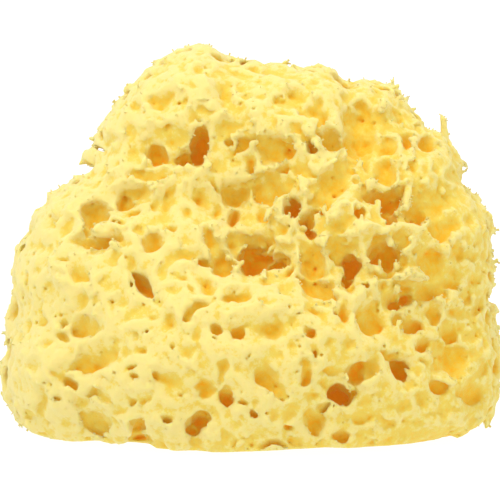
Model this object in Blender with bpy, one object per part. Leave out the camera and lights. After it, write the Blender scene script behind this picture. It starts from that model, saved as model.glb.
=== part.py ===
"""Natural bath sponge: one dry skeleton of a sea sponge, grown as a dome and cut flat at its base.

Model frame: +X to the right, +Y away from the front, +Z up, origin in the middle of the cut base.
The body is a smooth union of rounded lobes. Canals open in it all round. The ones that stand out at
the front are laid out by hand, across and up in millimetres as they are seen from the front. The
rest of the skin is filled with canals that follow a rule. Round each mouth the skin sinks to a dish,
so that ridges with pointed tips stay between them. Lengths are in millimetres until the mesh is made.
"""

import bmesh
import bpy
import numpy as np
import openvdb

MM = 0.001

# Each lobe: its middle (x, y, z) and its half width, half depth and half height.
LOBES = [
    (0, 0, 25, 67, 55, 44),
    (-24, 0, 46, 43, 43, 30),
    (25, 2, 51, 43.5, 45, 42),
    (-15, 2, 81, 25, 31, 28),
    (-22, 2, 68, 27, 31, 26),
    (35, 2, 75, 20, 29, 24),
    (8, 0, 81, 26, 29, 23),
    (-46, 0, 20, 23.5, 39, 25),
    (47, 0, 20, 23.5, 39, 25),
]
LOBE_BLEND = 5.0

# The front is laid out as seen from a point ahead of it and a little above.
SIGHT_TILT = np.radians(6.0)
SIGHT_DISTANCE = 1300.0
SIGHT_CENTRE = np.array((-0.3, 0.0, 52.2))
SIGHT_CENTRE_UP = 57.0

# A line that looks for the dome starts this far from its middle, and goes on in steps of most of the
# distance left.
LINE_START = 120.0
LINE_STEPS = 70
LINE_SHARE = 0.9

# Front canals: across, up, long half width, short half width, turn in degrees, depth.
CAVERNS = [
    (-13.0, 86.3, 5.2, 2.3, 80, 14),
    (-18.2, 84.3, 3.6, 2.8, 0, 16),
    (-24.6, 83.4, 2.3, 1.8, 90, 12),
    (-29.2, 46.7, 4.8, 2.0, -52, 15),
    (1.8, 53.6, 4.3, 3.8, 0, 18),
    (6.8, 52.4, 3.2, 1.5, 0, 14),
    (11.6, 68.3, 2.7, 1.9, 65, 16),
    (5.3, 71.6, 3.6, 2.8, 40, 9),
    (16.6, 63.0, 2.6, 1.7, 105, 13),
    (30.5, 87.0, 5.8, 2.9, 100, 11),
    (37.8, 70.3, 4.5, 2.7, 0, 12),
    (38.3, 66.5, 2.8, 1.6, 90, 12),
    (28.2, 52.3, 2.9, 2.3, 10, 15),
    (27.2, 48.5, 2.8, 1.6, 90, 15),
    (37.2, 55.3, 4.2, 3.0, 30, 11),
    (38.0, 59.0, 2.4, 2.0, 90, 10),
    (40.5, 41.2, 2.1, 1.8, 0, 12),
    (43.0, 43.2, 2.1, 1.6, 60, 12),
    (24.5, 15.8, 4.5, 3.3, -30, 20),
    (31.5, 22.8, 4.1, 2.7, 0, 11),
    (41.8, 22.9, 3.4, 2.5, 115, 12),
    (-32.4, 5.8, 3.2, 2.8, 90, 14),
    (-14.4, 8.6, 2.5, 2.1, 40, 13),
    (-7.6, 15.3, 2.6, 1.9, 100, 10),
    (34.0, 36.0, 3.4, 2.8, 120, 9),
]
HOLLOWS = [
    (-7.0, 90.5, 4.5, 2.6, 20, 5),
    (-1.5, 86.8, 3.2, 1.6, 15, 10),
    (-25.5, 97.7, 3.0, 2.0, 10, 4),
    (17.0, 97.0, 3.4, 2.2, 40, 5),
    (19.5, 94.2, 2.4, 1.8, -50, 7),
    (12.8, 90.8, 3.0, 1.6, -60, 5),
    (16.8, 87.3, 3.0, 1.9, 20, 7),
    (23.2, 86.4, 2.5, 1.5, 0, 8),
    (36.5, 87.5, 5.0, 3.6, 60, 6),
    (10.5, 80.6, 5.2, 3.0, -38, 7),
    (23.4, 76.2, 7.2, 2.5, 58, 8),
    (37.8, 78.0, 4.6, 3.0, -30, 7),
    (49.5, 86.2, 2.6, 1.8, 75, 6),
    (-43.8, 64.6, 3.4, 2.1, -20, 7),
    (-43.5, 58.6, 3.6, 1.9, 10, 8),
    (-45.6, 61.5, 3.4, 2.2, 90, 6),
    (-48.8, 51.0, 3.4, 2.2, -55, 6),
    (-28.0, 58.4, 2.5, 1.9, 40, 7),
    (-15.2, 71.7, 2.1, 1.6, 110, 6),
    (-4.4, 71.0, 2.7, 1.6, 15, 8),
    (-20.5, 56.0, 4.2, 1.5, 5, 4),
    (-8.2, 52.3, 3.3, 2.6, 90, 8),
    (-5.5, 43.0, 2.7, 1.7, 0, 7),
    (-2.3, 42.3, 2.0, 1.5, 30, 7),
    (-13.4, 46.4, 3.2, 1.8, 100, 4),
    (-17.8, 39.2, 2.3, 1.5, 60, 6),
    (17.2, 54.0, 3.2, 2.5, 120, 6),
    (25.5, 55.3, 2.9, 2.1, -30, 8),
    (42.2, 59.6, 3.6, 1.9, 35, 5),
    (46.5, 67.2, 3.0, 2.5, 30, 9),
    (51.0, 71.5, 4.8, 3.0, 30, 6),
    (53.5, 63.0, 3.5, 3.3, 0, 7),
    (50.5, 52.5, 4.2, 2.8, 90, 4),
    (56.0, 48.0, 4.6, 2.2, 15, 7),
    (50.0, 44.5, 4.0, 2.4, 0, 5),
    (18.0, 44.6, 3.9, 1.5, -45, 5),
    (-47.2, 34.3, 2.7, 2.2, 25, 6),
    (-43.5, 25.2, 5.8, 2.3, 18, 6),
    (-51.0, 19.0, 2.6, 1.5, -25, 6),
    (-45.8, 15.6, 4.6, 2.2, 15, 6),
    (-42.3, 6.8, 3.4, 2.2, -50, 9),
    (-22.5, 19.0, 4.4, 2.6, -25, 4),
    (-9.7, 34.2, 1.8, 1.8, 0, 8),
    (-3.1, 32.9, 1.8, 1.6, 0, 8),
    (-8.4, 23.8, 2.1, 1.8, 60, 7),
    (-12.6, 17.3, 2.4, 2.3, 0, 6),
    (5.0, 33.5, 4.3, 1.8, 5, 5),
    (15.3, 21.0, 2.7, 1.7, 65, 8),
    (4.6, 19.2, 4.8, 2.4, -52, 8),
    (12.5, 9.9, 4.0, 2.2, 30, 5),
    (18.0, 7.8, 3.3, 2.5, 90, 8),
    (49.0, 29.2, 2.7, 1.8, 15, 8),
    (45.3, 34.6, 2.3, 1.5, -15, 7),
    (56.3, 32.5, 2.4, 2.0, -10, 9),
    (56.3, 25.2, 3.8, 3.3, 90, 7),
    (52.8, 18.4, 2.3, 1.9, 90, 8),
    (61.6, 15.8, 3.4, 2.2, -20, 7),
    (51.0, 38.0, 2.1, 1.7, 100, 6),
    (59.0, 37.2, 2.4, 1.6, 110, 6),
]

# Canals that follow a rule: how many places to try, in size steps from large to small. The large
# ones keep off the front, whose skin faces the viewer by more than FRONT_LIMIT.
SEED = 11
FILL_STEPS = [
    dict(tries=700, half_width=(3.2, 4.8), depth=(7, 12), gap=3.0, front=False),
    dict(tries=1500, half_width=(2.0, 3.1), depth=(4, 7), gap=1.5, front=False),
    dict(tries=1200, half_width=(1.6, 2.3), depth=(2.5, 4), gap=2.2, front=True),
]
FRONT_LIMIT = 0.30
CANAL_MIDDLE = np.array((0.0, 0.0, 40.0))
CANAL_LEAN = 0.25
LONGEST = 1.7

# The cut base shows canals too, upright ones that keep off its middle and its rim.
BASE_TRIES = 500
BASE_REACH = (62.0, 50.0)
BASE_HALF_WIDTH = (1.8, 4.2)
BASE_DEPTH = (5.0, 12.0)
BASE_GAP = 3.0
BASE_RIM = 7.0
BASE_MIDDLE = 8.0

# A facet of the solid is as long as a small canal is wide, so the front's canals are opened wider.
FRONT_WIDEN = 1.2
# How far a front canal's mouth turns from square to the line of sight onto the skin, and the least
# that the skin is taken to face the viewer in this.
ONTO_SKIN = 0.8
LEAST_FACING = 0.45

# Each canal widens at its mouth, and a deep one again inside.
MOUTH_FLARE = 0.25
FLARE_DEPTH = 1.6
UNDERCUT = 0.15
RIM_BLEND = 0.5
HEADROOM = 0.4

# Round each mouth the surface sinks to a dish. Ridges stay between dishes, highest where three meet.
SKIN_RISE = 0.9
DISH_DEPTH = 2.3
DISH_EDGE = 2.6
RIDGE_SAG = 1.0
RIDGE_SAG_EDGE = 3.5
DISH_REACH = 7.0
DISH_BLOCK = 13.0

# Pointed growths at the edge of the front: foot (across, up), tip (across, up), half width at the foot.
SPINES = [
    ((54.4, 84.0), (54.9, 91.5), 1.6),
    ((54.9, 90.0), (53.9, 95.5), 1.1),
    ((-46.5, 79.0), (-44.6, 84.5), 2.2),
    ((-44.6, 84.0), (-42.0, 88.0), 1.8),
    ((9.0, 104.0), (12.2, 109.5), 2.4),
    ((-2.0, 106.5), (-5.6, 111.6), 1.8),
    ((-47.5, 74.5), (-50.6, 79.2), 2.2),
    ((42.0, 93.0), (45.8, 96.8), 2.6),
    ((63.5, 60.5), (69.0, 62.6), 2.4),
    ((64.5, 49.5), (69.6, 51.0), 2.2),
    ((-63.5, 26.0), (-69.8, 26.3), 2.4),
    ((-62.5, 50.0), (-67.4, 51.0), 2.0),
    ((56.5, 78.5), (59.6, 81.0), 1.8),
    ((54.0, 7.0), (57.9, 2.6), 2.0),
]
SPINE_SET_IN = 4.0
SPINE_TAPER = 0.65
SPINE_BLEND = 1.5

# The solid: sampling cell, the base's height, and how finely it is faceted.
CELL = 1.0
GRID = ((-76, 76), (-62, 64), (-6, 118))
TRIANGLES = 9800
LUMP_SIZE = 9.0
LUMP_HEIGHT = 1.4
BASE_SNAP = 0.35


def lobe_distance(points, lobe):
    """Rough distance in millimetres from points to one lobe, below 0 inside it."""
    middle, half = np.array(lobe[:3]), np.array(lobe[3:])
    scaled = (points - middle) / half
    reach = np.sqrt((scaled**2).sum(-1))
    slope = np.sqrt(((scaled / half) ** 2).sum(-1)) + 1e-9
    return reach * (reach - 1) / slope


def smooth_union(first, second, blend):
    share = np.clip(0.5 + 0.5 * (second - first) / blend, 0, 1)
    return second + (first - second) * share - blend * share * (1 - share)


def body_distance(points):
    """Distance to the whole dome, before it is cut at the base and opened by canals."""
    nearest = lobe_distance(points, LOBES[0])
    for lobe in LOBES[1:]:
        nearest = smooth_union(nearest, lobe_distance(points, lobe), LOBE_BLEND)
    return nearest


def outward(points):
    """The dome's outward direction at each point."""
    step = 0.5
    slope = np.stack(
        [
            body_distance(points + step * axis) - body_distance(points - step * axis)
            for axis in np.eye(3)
        ],
        axis=-1,
    )
    return slope / np.linalg.norm(slope, axis=-1, keepdims=True)


def march(starts, directions):
    """Where lines from outside first meet the dome."""
    points = starts.copy()
    for _ in range(LINE_STEPS):
        points += directions * (LINE_SHARE * body_distance(points))[:, None]
    return points


def sight_axes():
    up = np.array((0.0, np.sin(SIGHT_TILT), np.cos(SIGHT_TILT)))
    back = np.array((0.0, -np.cos(SIGHT_TILT), np.sin(SIGHT_TILT)))
    return np.array((1.0, 0.0, 0.0)), up, back


def canal_frame(mouth, inward, long_way, short_way, depth):
    """A canal's own frame: its mouth, and the matrix that turns a place into canal shares."""
    return mouth, np.column_stack((long_way, short_way, inward * depth))


def canal_half_width(ways):
    return np.sqrt(np.linalg.norm(ways[:, 0]) * np.linalg.norm(ways[:, 1]))


def front_canals(rows):
    """Frames of the canals laid out by hand, set into the dome along the line of sight."""
    right, up, back = sight_axes()
    eye = SIGHT_CENTRE + back * SIGHT_DISTANCE
    table = np.array(rows, float)
    plane = (
        SIGHT_CENTRE
        + (table[:, :1] - SIGHT_CENTRE[0]) * right
        + (table[:, 1:2] - SIGHT_CENTRE_UP) * up
    )
    sight = plane - eye
    sight /= np.linalg.norm(sight, axis=1, keepdims=True)
    mouths = march(eye + sight * (SIGHT_DISTANCE - LINE_START), sight)
    normals = outward(mouths)
    frames = []
    for row, mouth, ray, normal in zip(table, mouths, sight, normals):
        long_half, short_half = row[2] * FRONT_WIDEN, row[3] * FRONT_WIDEN
        turn, depth = np.radians(row[4]), row[5]
        ways = (
            right * np.cos(turn) + up * np.sin(turn),
            up * np.cos(turn) - right * np.sin(turn),
        )
        facing = max(LEAST_FACING, -ray @ normal)
        spread = [way + ray * (way @ normal) / facing * ONTO_SKIN for way in ways]
        inward = ray - normal
        inward /= np.linalg.norm(inward)
        frames.append(
            canal_frame(mouth, inward, spread[0] * long_half, spread[1] * short_half, depth)
        )
    return frames


def filling_canals(placed):
    """Frames of the canals that fill the skin between the placed ones, the large ones first."""
    rng = np.random.default_rng(SEED)
    back = sight_axes()[2]
    frames = []
    kept = np.array([(*mouth, canal_half_width(ways)) for mouth, ways in placed])
    for step in FILL_STEPS:
        directions = rng.normal(size=(step["tries"], 3))
        directions /= np.linalg.norm(directions, axis=1, keepdims=True)
        mouths = march(CANAL_MIDDLE + directions * LINE_START, -directions)
        for mouth, normal in zip(mouths, outward(mouths)):
            half = rng.uniform(*step["half_width"])
            long_half = half * rng.uniform(1.0, LONGEST)
            turn = rng.uniform(0, np.pi)
            depth = rng.uniform(*step["depth"])
            lean = rng.normal(size=3) * CANAL_LEAN
            in_front = normal @ back > FRONT_LIMIT and not step["front"]
            apart = np.linalg.norm(kept[:, :3] - mouth, axis=1) - kept[:, 3]
            if in_front or mouth[2] < half or apart.min() < long_half + step["gap"]:
                continue
            kept = np.vstack((kept, (*mouth, long_half)))
            side = np.cross(normal, (0.3, 0.2, 0.93))
            side /= np.linalg.norm(side)
            rise = np.cross(normal, side)
            inward = lean - normal
            inward /= np.linalg.norm(inward)
            long_way = (side * np.cos(turn) + rise * np.sin(turn)) * long_half
            short_way = (rise * np.cos(turn) - side * np.sin(turn)) * half
            frames.append(canal_frame(mouth, inward, long_way, short_way, depth))
    return frames


def base_canals():
    """Frames of the upright canals that the cut laid open in the base."""
    rng = np.random.default_rng(SEED + 1)
    frames, kept = [], np.array([(0.0, 0.0, BASE_MIDDLE)])
    for _ in range(BASE_TRIES):
        mouth = np.array((*rng.uniform(-1, 1, 2) * BASE_REACH, 0.0))
        half = rng.uniform(*BASE_HALF_WIDTH)
        long_half = half * rng.uniform(1.0, LONGEST)
        turn = rng.uniform(0, np.pi)
        depth = rng.uniform(*BASE_DEPTH)
        rim = body_distance(mouth[None])[0] + long_half + BASE_RIM
        apart = np.linalg.norm(kept[:, :2] - mouth[:2], axis=1) - kept[:, 2]
        if rim > 0 or apart.min() < long_half + BASE_GAP:
            continue
        kept = np.vstack((kept, (*mouth[:2], long_half)))
        long_way = np.array((np.cos(turn), np.sin(turn), 0.0)) * long_half
        short_way = np.array((-np.sin(turn), np.cos(turn), 0.0)) * half
        frames.append(canal_frame(mouth, np.array((0.0, 0.0, 1.0)), long_way, short_way, depth))
    return frames


def sampling_grid():
    axes = [np.arange(low, high, CELL) for low, high in GRID]
    return axes, np.stack(np.meshgrid(*axes, indexing="ij"), axis=-1)


def lumps(shape, rng):
    """Smooth random lumps from -1 to 1 over the grid, LUMP_SIZE apart."""
    coarse = rng.uniform(-1, 1, size=[int(n * CELL / LUMP_SIZE) + 4 for n in shape])
    for axis, count in enumerate(shape):
        place = np.arange(count) * CELL / LUMP_SIZE + 1
        cell = place.astype(int)
        share = (place - cell) ** 2 * (3 - 2 * (place - cell))
        spread = [1] * 3
        spread[axis] = count
        share = share.reshape(spread)
        coarse = np.take(coarse, cell, axis) * (1 - share) + np.take(coarse, cell + 1, axis) * share
    return coarse


def canal_width(share, depth):
    """A canal's width as a share of its mouth, from the mouth (0) down to its end (1)."""
    down = np.clip(share, 0, 1)
    flare = MOUTH_FLARE * np.exp(-np.clip(share, -HEADROOM, 1) * depth / FLARE_DEPTH)
    return (1 + flare + UNDERCUT * np.sin(np.pi * down)) * np.sqrt(1 - down**3)


def block_round(axes, low, high):
    """The part of the grid between two corners."""
    return tuple(
        slice(np.searchsorted(axis, start), np.searchsorted(axis, stop))
        for axis, start, stop in zip(axes, low, high)
    )


def open_canal(solid, axes, frame):
    """Takes one canal out of the sampled solid, with some headroom over its mouth."""
    mouth, ways = frame
    depth = np.linalg.norm(ways[:, 2])
    corners = np.array([(i, j, k) for i in (-2, 2) for j in (-2, 2) for k in (-HEADROOM, 1.05)])
    reach = mouth + corners @ ways.T
    block = block_round(axes, reach.min(0), reach.max(0))
    cells = np.stack(
        np.meshgrid(*[axis[cut] for axis, cut in zip(axes, block)], indexing="ij"), axis=-1
    )
    shares = (cells - mouth) @ np.linalg.inv(ways).T
    radius = np.sqrt(shares[..., 0] ** 2 + shares[..., 1] ** 2)
    half_width = canal_half_width(ways)
    hole = (canal_width(shares[..., 2], depth) - radius) * half_width
    hole = np.where(shares[..., 2] > 1, -radius * half_width, hole)
    hole = np.where(shares[..., 2] < -HEADROOM, -1, hole)
    solid[block] = -smooth_union(-solid[block], -hole, RIM_BLEND)


def add_spines(solid, cells):
    """Adds the pointed growths, each a cone with a rounded tip set into the dome's edge."""
    right, up, back = sight_axes()
    for foot, tip, half_width in SPINES:
        ends = []
        for across, rise in (foot, tip):
            plane = SIGHT_CENTRE + (across - SIGHT_CENTRE[0]) * right
            ends.append(plane + (rise - SIGHT_CENTRE_UP) * up)
        way = ends[1] - ends[0]
        length = np.linalg.norm(way)
        way /= length
        along = np.clip((cells - ends[0]) @ way, -SPINE_SET_IN, length)
        aside = np.linalg.norm(cells - ends[0] - along[..., None] * way, axis=-1)
        share = np.clip(along / length, 0, 1)
        solid[:] = smooth_union(solid, aside - half_width * (1 - SPINE_TAPER * share), SPINE_BLEND)


def dish_depths(axes, cells, frames):
    """How far the surface sinks towards the nearest canal mouths, over the grid."""
    nearest = np.full((3, *cells.shape[:3]), 3 * DISH_BLOCK)
    for mouth, ways in frames:
        block = block_round(axes, mouth - DISH_BLOCK, mouth + DISH_BLOCK)
        apart = np.linalg.norm(cells[block] - mouth, axis=-1) - canal_half_width(ways)
        for rank in range(3):
            kept = nearest[rank][block]
            nearest[rank][block], apart = np.minimum(kept, apart), np.maximum(kept, apart)
    first, second, third = nearest
    dish = DISH_DEPTH * (1 - np.exp(-(second - first) / DISH_EDGE))
    sag = RIDGE_SAG * (1 - np.exp(-(third - first) / RIDGE_SAG_EDGE))
    return (dish + sag) * np.exp(-((np.maximum(first, 0) / DISH_REACH) ** 2))


def sampled_solid():
    """The opened dome on the grid: distance in millimetres, below 0 in the sponge."""
    axes, cells = sampling_grid()
    rng = np.random.default_rng(SEED)
    placed = front_canals(CAVERNS + HOLLOWS)
    frames = filling_canals(placed) + placed
    solid = body_distance(cells) - SKIN_RISE - LUMP_HEIGHT * lumps(cells.shape[:3], rng)
    solid += dish_depths(axes, cells, frames)
    add_spines(solid, cells)
    for frame in frames + base_canals():
        open_canal(solid, axes, frame)
    return axes, np.maximum(solid, -cells[..., 2])


def skin_of(axes, solid):
    """The sampled solid's surface as one closed mesh, without crumbs or sealed pockets."""
    grid = openvdb.FloatGrid(background=3.0)
    grid.copyFromArray(np.clip(solid, -3, 3).astype(np.float32))
    points, triangles, quads = grid.convertToPolygons(isovalue=0.0, adaptivity=0.0)
    corner = np.array([axis[0] for axis in axes])
    mesh = bpy.data.meshes.new("fine_sponge")
    mesh.from_pydata((points * CELL + corner) * MM, [], triangles.tolist() + quads.tolist())
    work = bmesh.new()
    work.from_mesh(mesh)
    bmesh.ops.triangulate(work, faces=work.faces)
    keep_largest_body(work)
    bmesh.ops.recalc_face_normals(work, faces=work.faces)
    work.to_mesh(mesh)
    work.free()
    return mesh


def keep_largest_body(work):
    """Deletes every separate piece of the mesh but the one with the most points."""
    unseen, bodies = set(work.verts), []
    while unseen:
        body, edge_of_body = set(), [unseen.pop()]
        while edge_of_body:
            vertex = edge_of_body.pop()
            body.add(vertex)
            for edge in vertex.link_edges:
                other = edge.other_vert(vertex)
                if other in unseen:
                    unseen.discard(other)
                    edge_of_body.append(other)
        bodies.append(body)
    bodies.sort(key=len)
    for body in bodies[:-1]:
        bmesh.ops.delete(work, geom=list(body), context="VERTS")


def flatten_base(mesh):
    """Brings the facets of the cut base to height 0 exactly."""
    for vertex in mesh.vertices:
        if vertex.co.z < BASE_SNAP * MM:
            vertex.co.z = 0


def sponge_material():
    material = bpy.data.materials.new("dry_sponge_fibre")
    material.use_nodes = True
    shader = material.node_tree.nodes["Principled BSDF"]
    shader.inputs["Base Color"].default_value = (0.93, 0.68, 0.2, 1)
    shader.inputs["Roughness"].default_value = 0.9
    shader.inputs["Metallic"].default_value = 0
    return material


def build_sponge():
    fine = skin_of(*sampled_solid())
    carrier = bpy.data.objects.new("fine_sponge", fine)
    bpy.context.scene.collection.objects.link(carrier)
    thin = carrier.modifiers.new("fewer_facets", "DECIMATE")
    thin.ratio = TRIANGLES / len(fine.polygons)
    graph = bpy.context.evaluated_depsgraph_get()
    mesh = bpy.data.meshes.new_from_object(carrier.evaluated_get(graph))
    bpy.data.objects.remove(carrier)

    flatten_base(mesh)
    mesh.name = "sponge"
    mesh.shade_smooth()
    mesh.set_sharp_from_angle(angle=np.radians(50))
    sponge = bpy.data.objects.new("sponge", mesh)
    sponge.data.materials.append(sponge_material())
    bpy.context.scene.collection.objects.link(sponge)


def main():
    for obj in list(bpy.data.objects):
        bpy.data.objects.remove(obj)
    build_sponge()


main()
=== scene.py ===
# Natural bath sponge: the dry spongin skeleton of one sea sponge, cut flat at its base.
# Shapes are worked out in millimetres, +X right, +Y away from the front, +Z up, and made in metres.

from math import radians

import bpy
import numpy as np
import openvdb
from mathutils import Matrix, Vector


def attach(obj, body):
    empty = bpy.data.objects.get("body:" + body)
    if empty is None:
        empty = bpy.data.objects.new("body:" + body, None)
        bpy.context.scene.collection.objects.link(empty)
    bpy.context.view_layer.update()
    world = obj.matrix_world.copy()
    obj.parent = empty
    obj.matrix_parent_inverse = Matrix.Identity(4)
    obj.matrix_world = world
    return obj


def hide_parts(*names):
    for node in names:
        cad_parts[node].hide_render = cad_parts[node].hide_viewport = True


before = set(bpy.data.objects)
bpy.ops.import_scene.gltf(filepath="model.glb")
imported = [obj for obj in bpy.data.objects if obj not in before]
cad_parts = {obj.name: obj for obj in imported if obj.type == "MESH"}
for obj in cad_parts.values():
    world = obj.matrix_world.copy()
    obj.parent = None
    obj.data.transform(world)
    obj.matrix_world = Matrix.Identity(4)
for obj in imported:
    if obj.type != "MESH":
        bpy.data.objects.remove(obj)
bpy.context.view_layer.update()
mm = 0.001
print("frame loaded")

# What the eye sees of the front is laid out across and up in mm on a plane through the sponge.
sight = {
    "tilt": radians(6.0),
    "distance": 1300.0,
    "centre": np.array((-0.3, 0.0, 52.2)),
    "centreUp": 57.0,
    "frameWidth": 141.1,
    "target": (-0.3, 0.0, 52.0),
    "sensor": 36.0,
    "nearest": 0.05,
}

body = {
    # middle (x, y, z) and half width, half depth, half height of each lobe
    "lobes": [
        (0, 0, 25, 67, 55, 44),
        (-24, 0, 46, 43, 43, 30),
        (25, 2, 51, 43.5, 45, 42),
        (-15, 2, 81, 25, 31, 28),
        (-22, 2, 68, 27, 31, 26),
        (35, 2, 75, 20, 29, 24),
        (8, 0, 81, 26, 29, 23),
        (-46, 0, 20, 23.5, 39, 25),
        (47, 0, 20, 23.5, 39, 25),
    ],
    "lobeBlend": 5.0,
    "cell": 0.5,
    "low": (-74, -60, -2),
    "high": (74, 62, 114),
    "skinRise": 0.9,
    "seed": 11,
    "faces": 196000,
    # cells over which the share of solid is taken, close round a point and wider
    "closeCells": 2,
    "wideCells": 4,
    "leastFringe": 0.25,
    "bareBelow": 3.0,      # no fringe so near the ground
}

# The outline from the lower left, over the crown, to the lower right: across, up.
outline = {
    "points": [
        (-66.5, 11), (-69, 15), (-68, 20), (-70, 24), (-69.5, 26), (-67.5, 28), (-68, 33), (-68.5, 38),
        (-66.3, 41), (-66.3, 48), (-67.2, 50.8), (-66.5, 54), (-66.3, 57), (-64, 60), (-61.5, 61),
        (-60.5, 67), (-57.7, 70), (-57.5, 73), (-55, 74), (-51.5, 75.5), (-50.4, 79), (-48.5, 77.5),
        (-46, 80), (-47, 82.5), (-44, 86), (-44, 89), (-41.5, 92), (-39, 96), (-34.5, 101.7),
        (-30, 105.5), (-24, 110), (-18, 113), (-12, 114), (-8.5, 111), (-6, 109), (-3, 110.5), (0, 110),
        (5, 108.7), (11, 108.5), (13.5, 106.5), (19, 108.3), (23, 107), (26, 104), (27.5, 103),
        (31, 104), (35, 104), (40, 102), (42, 99.5), (44.5, 96), (47, 93), (48, 90), (52.5, 90),
        (55, 87.5), (56.5, 84.5), (59.3, 80.8), (58.2, 75), (60.5, 74), (63, 71), (66, 69), (67, 64.5),
        (68.7, 62.3), (66.8, 60), (67.7, 57), (68, 53), (69.4, 50.8), (67.5, 50), (67.5, 45),
        (66.3, 43), (68.7, 39.7), (67.2, 38), (68.5, 35.5), (70, 25), (69.5, 18), (67.5, 14), (67, 10),
    ],
    "middle": (0.0, 45.0),
    # where the dome's own outline is looked for: first, last and step in mm, and rays by angle
    "across": (-76, 77, 1.0),
    "rise": (0, 120, 1.0),
    "depths": (-30, 34, 3.0),
    "reaches": (20, 85, 0.25),
    "rays": 500,
    "pastLevel": 0.75,
    "reach": 30.0,      # how far the outline's course is felt to the front and the back
    "edgeReach": 7.0,      # of the small steps of the outline
    "broad": 9.0,      # degrees over which the broad course of the outline is taken
    "calm": 9.0,      # how near the outline the skin is calmer, and by how much
    "calmShare": 0.6,
    "lumpCalm": 8.0,
    "gapReach": 22.0,
    "gapWarp": 0.1,
    "footSpread": 9.0,      # the foot's cut spreads and follows its broad shape so far behind the edge
    "footBehind": 9.0,
    "footStop": 10.0,
    "footLevel": 3.0,
    "footBell": 45,
}

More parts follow.
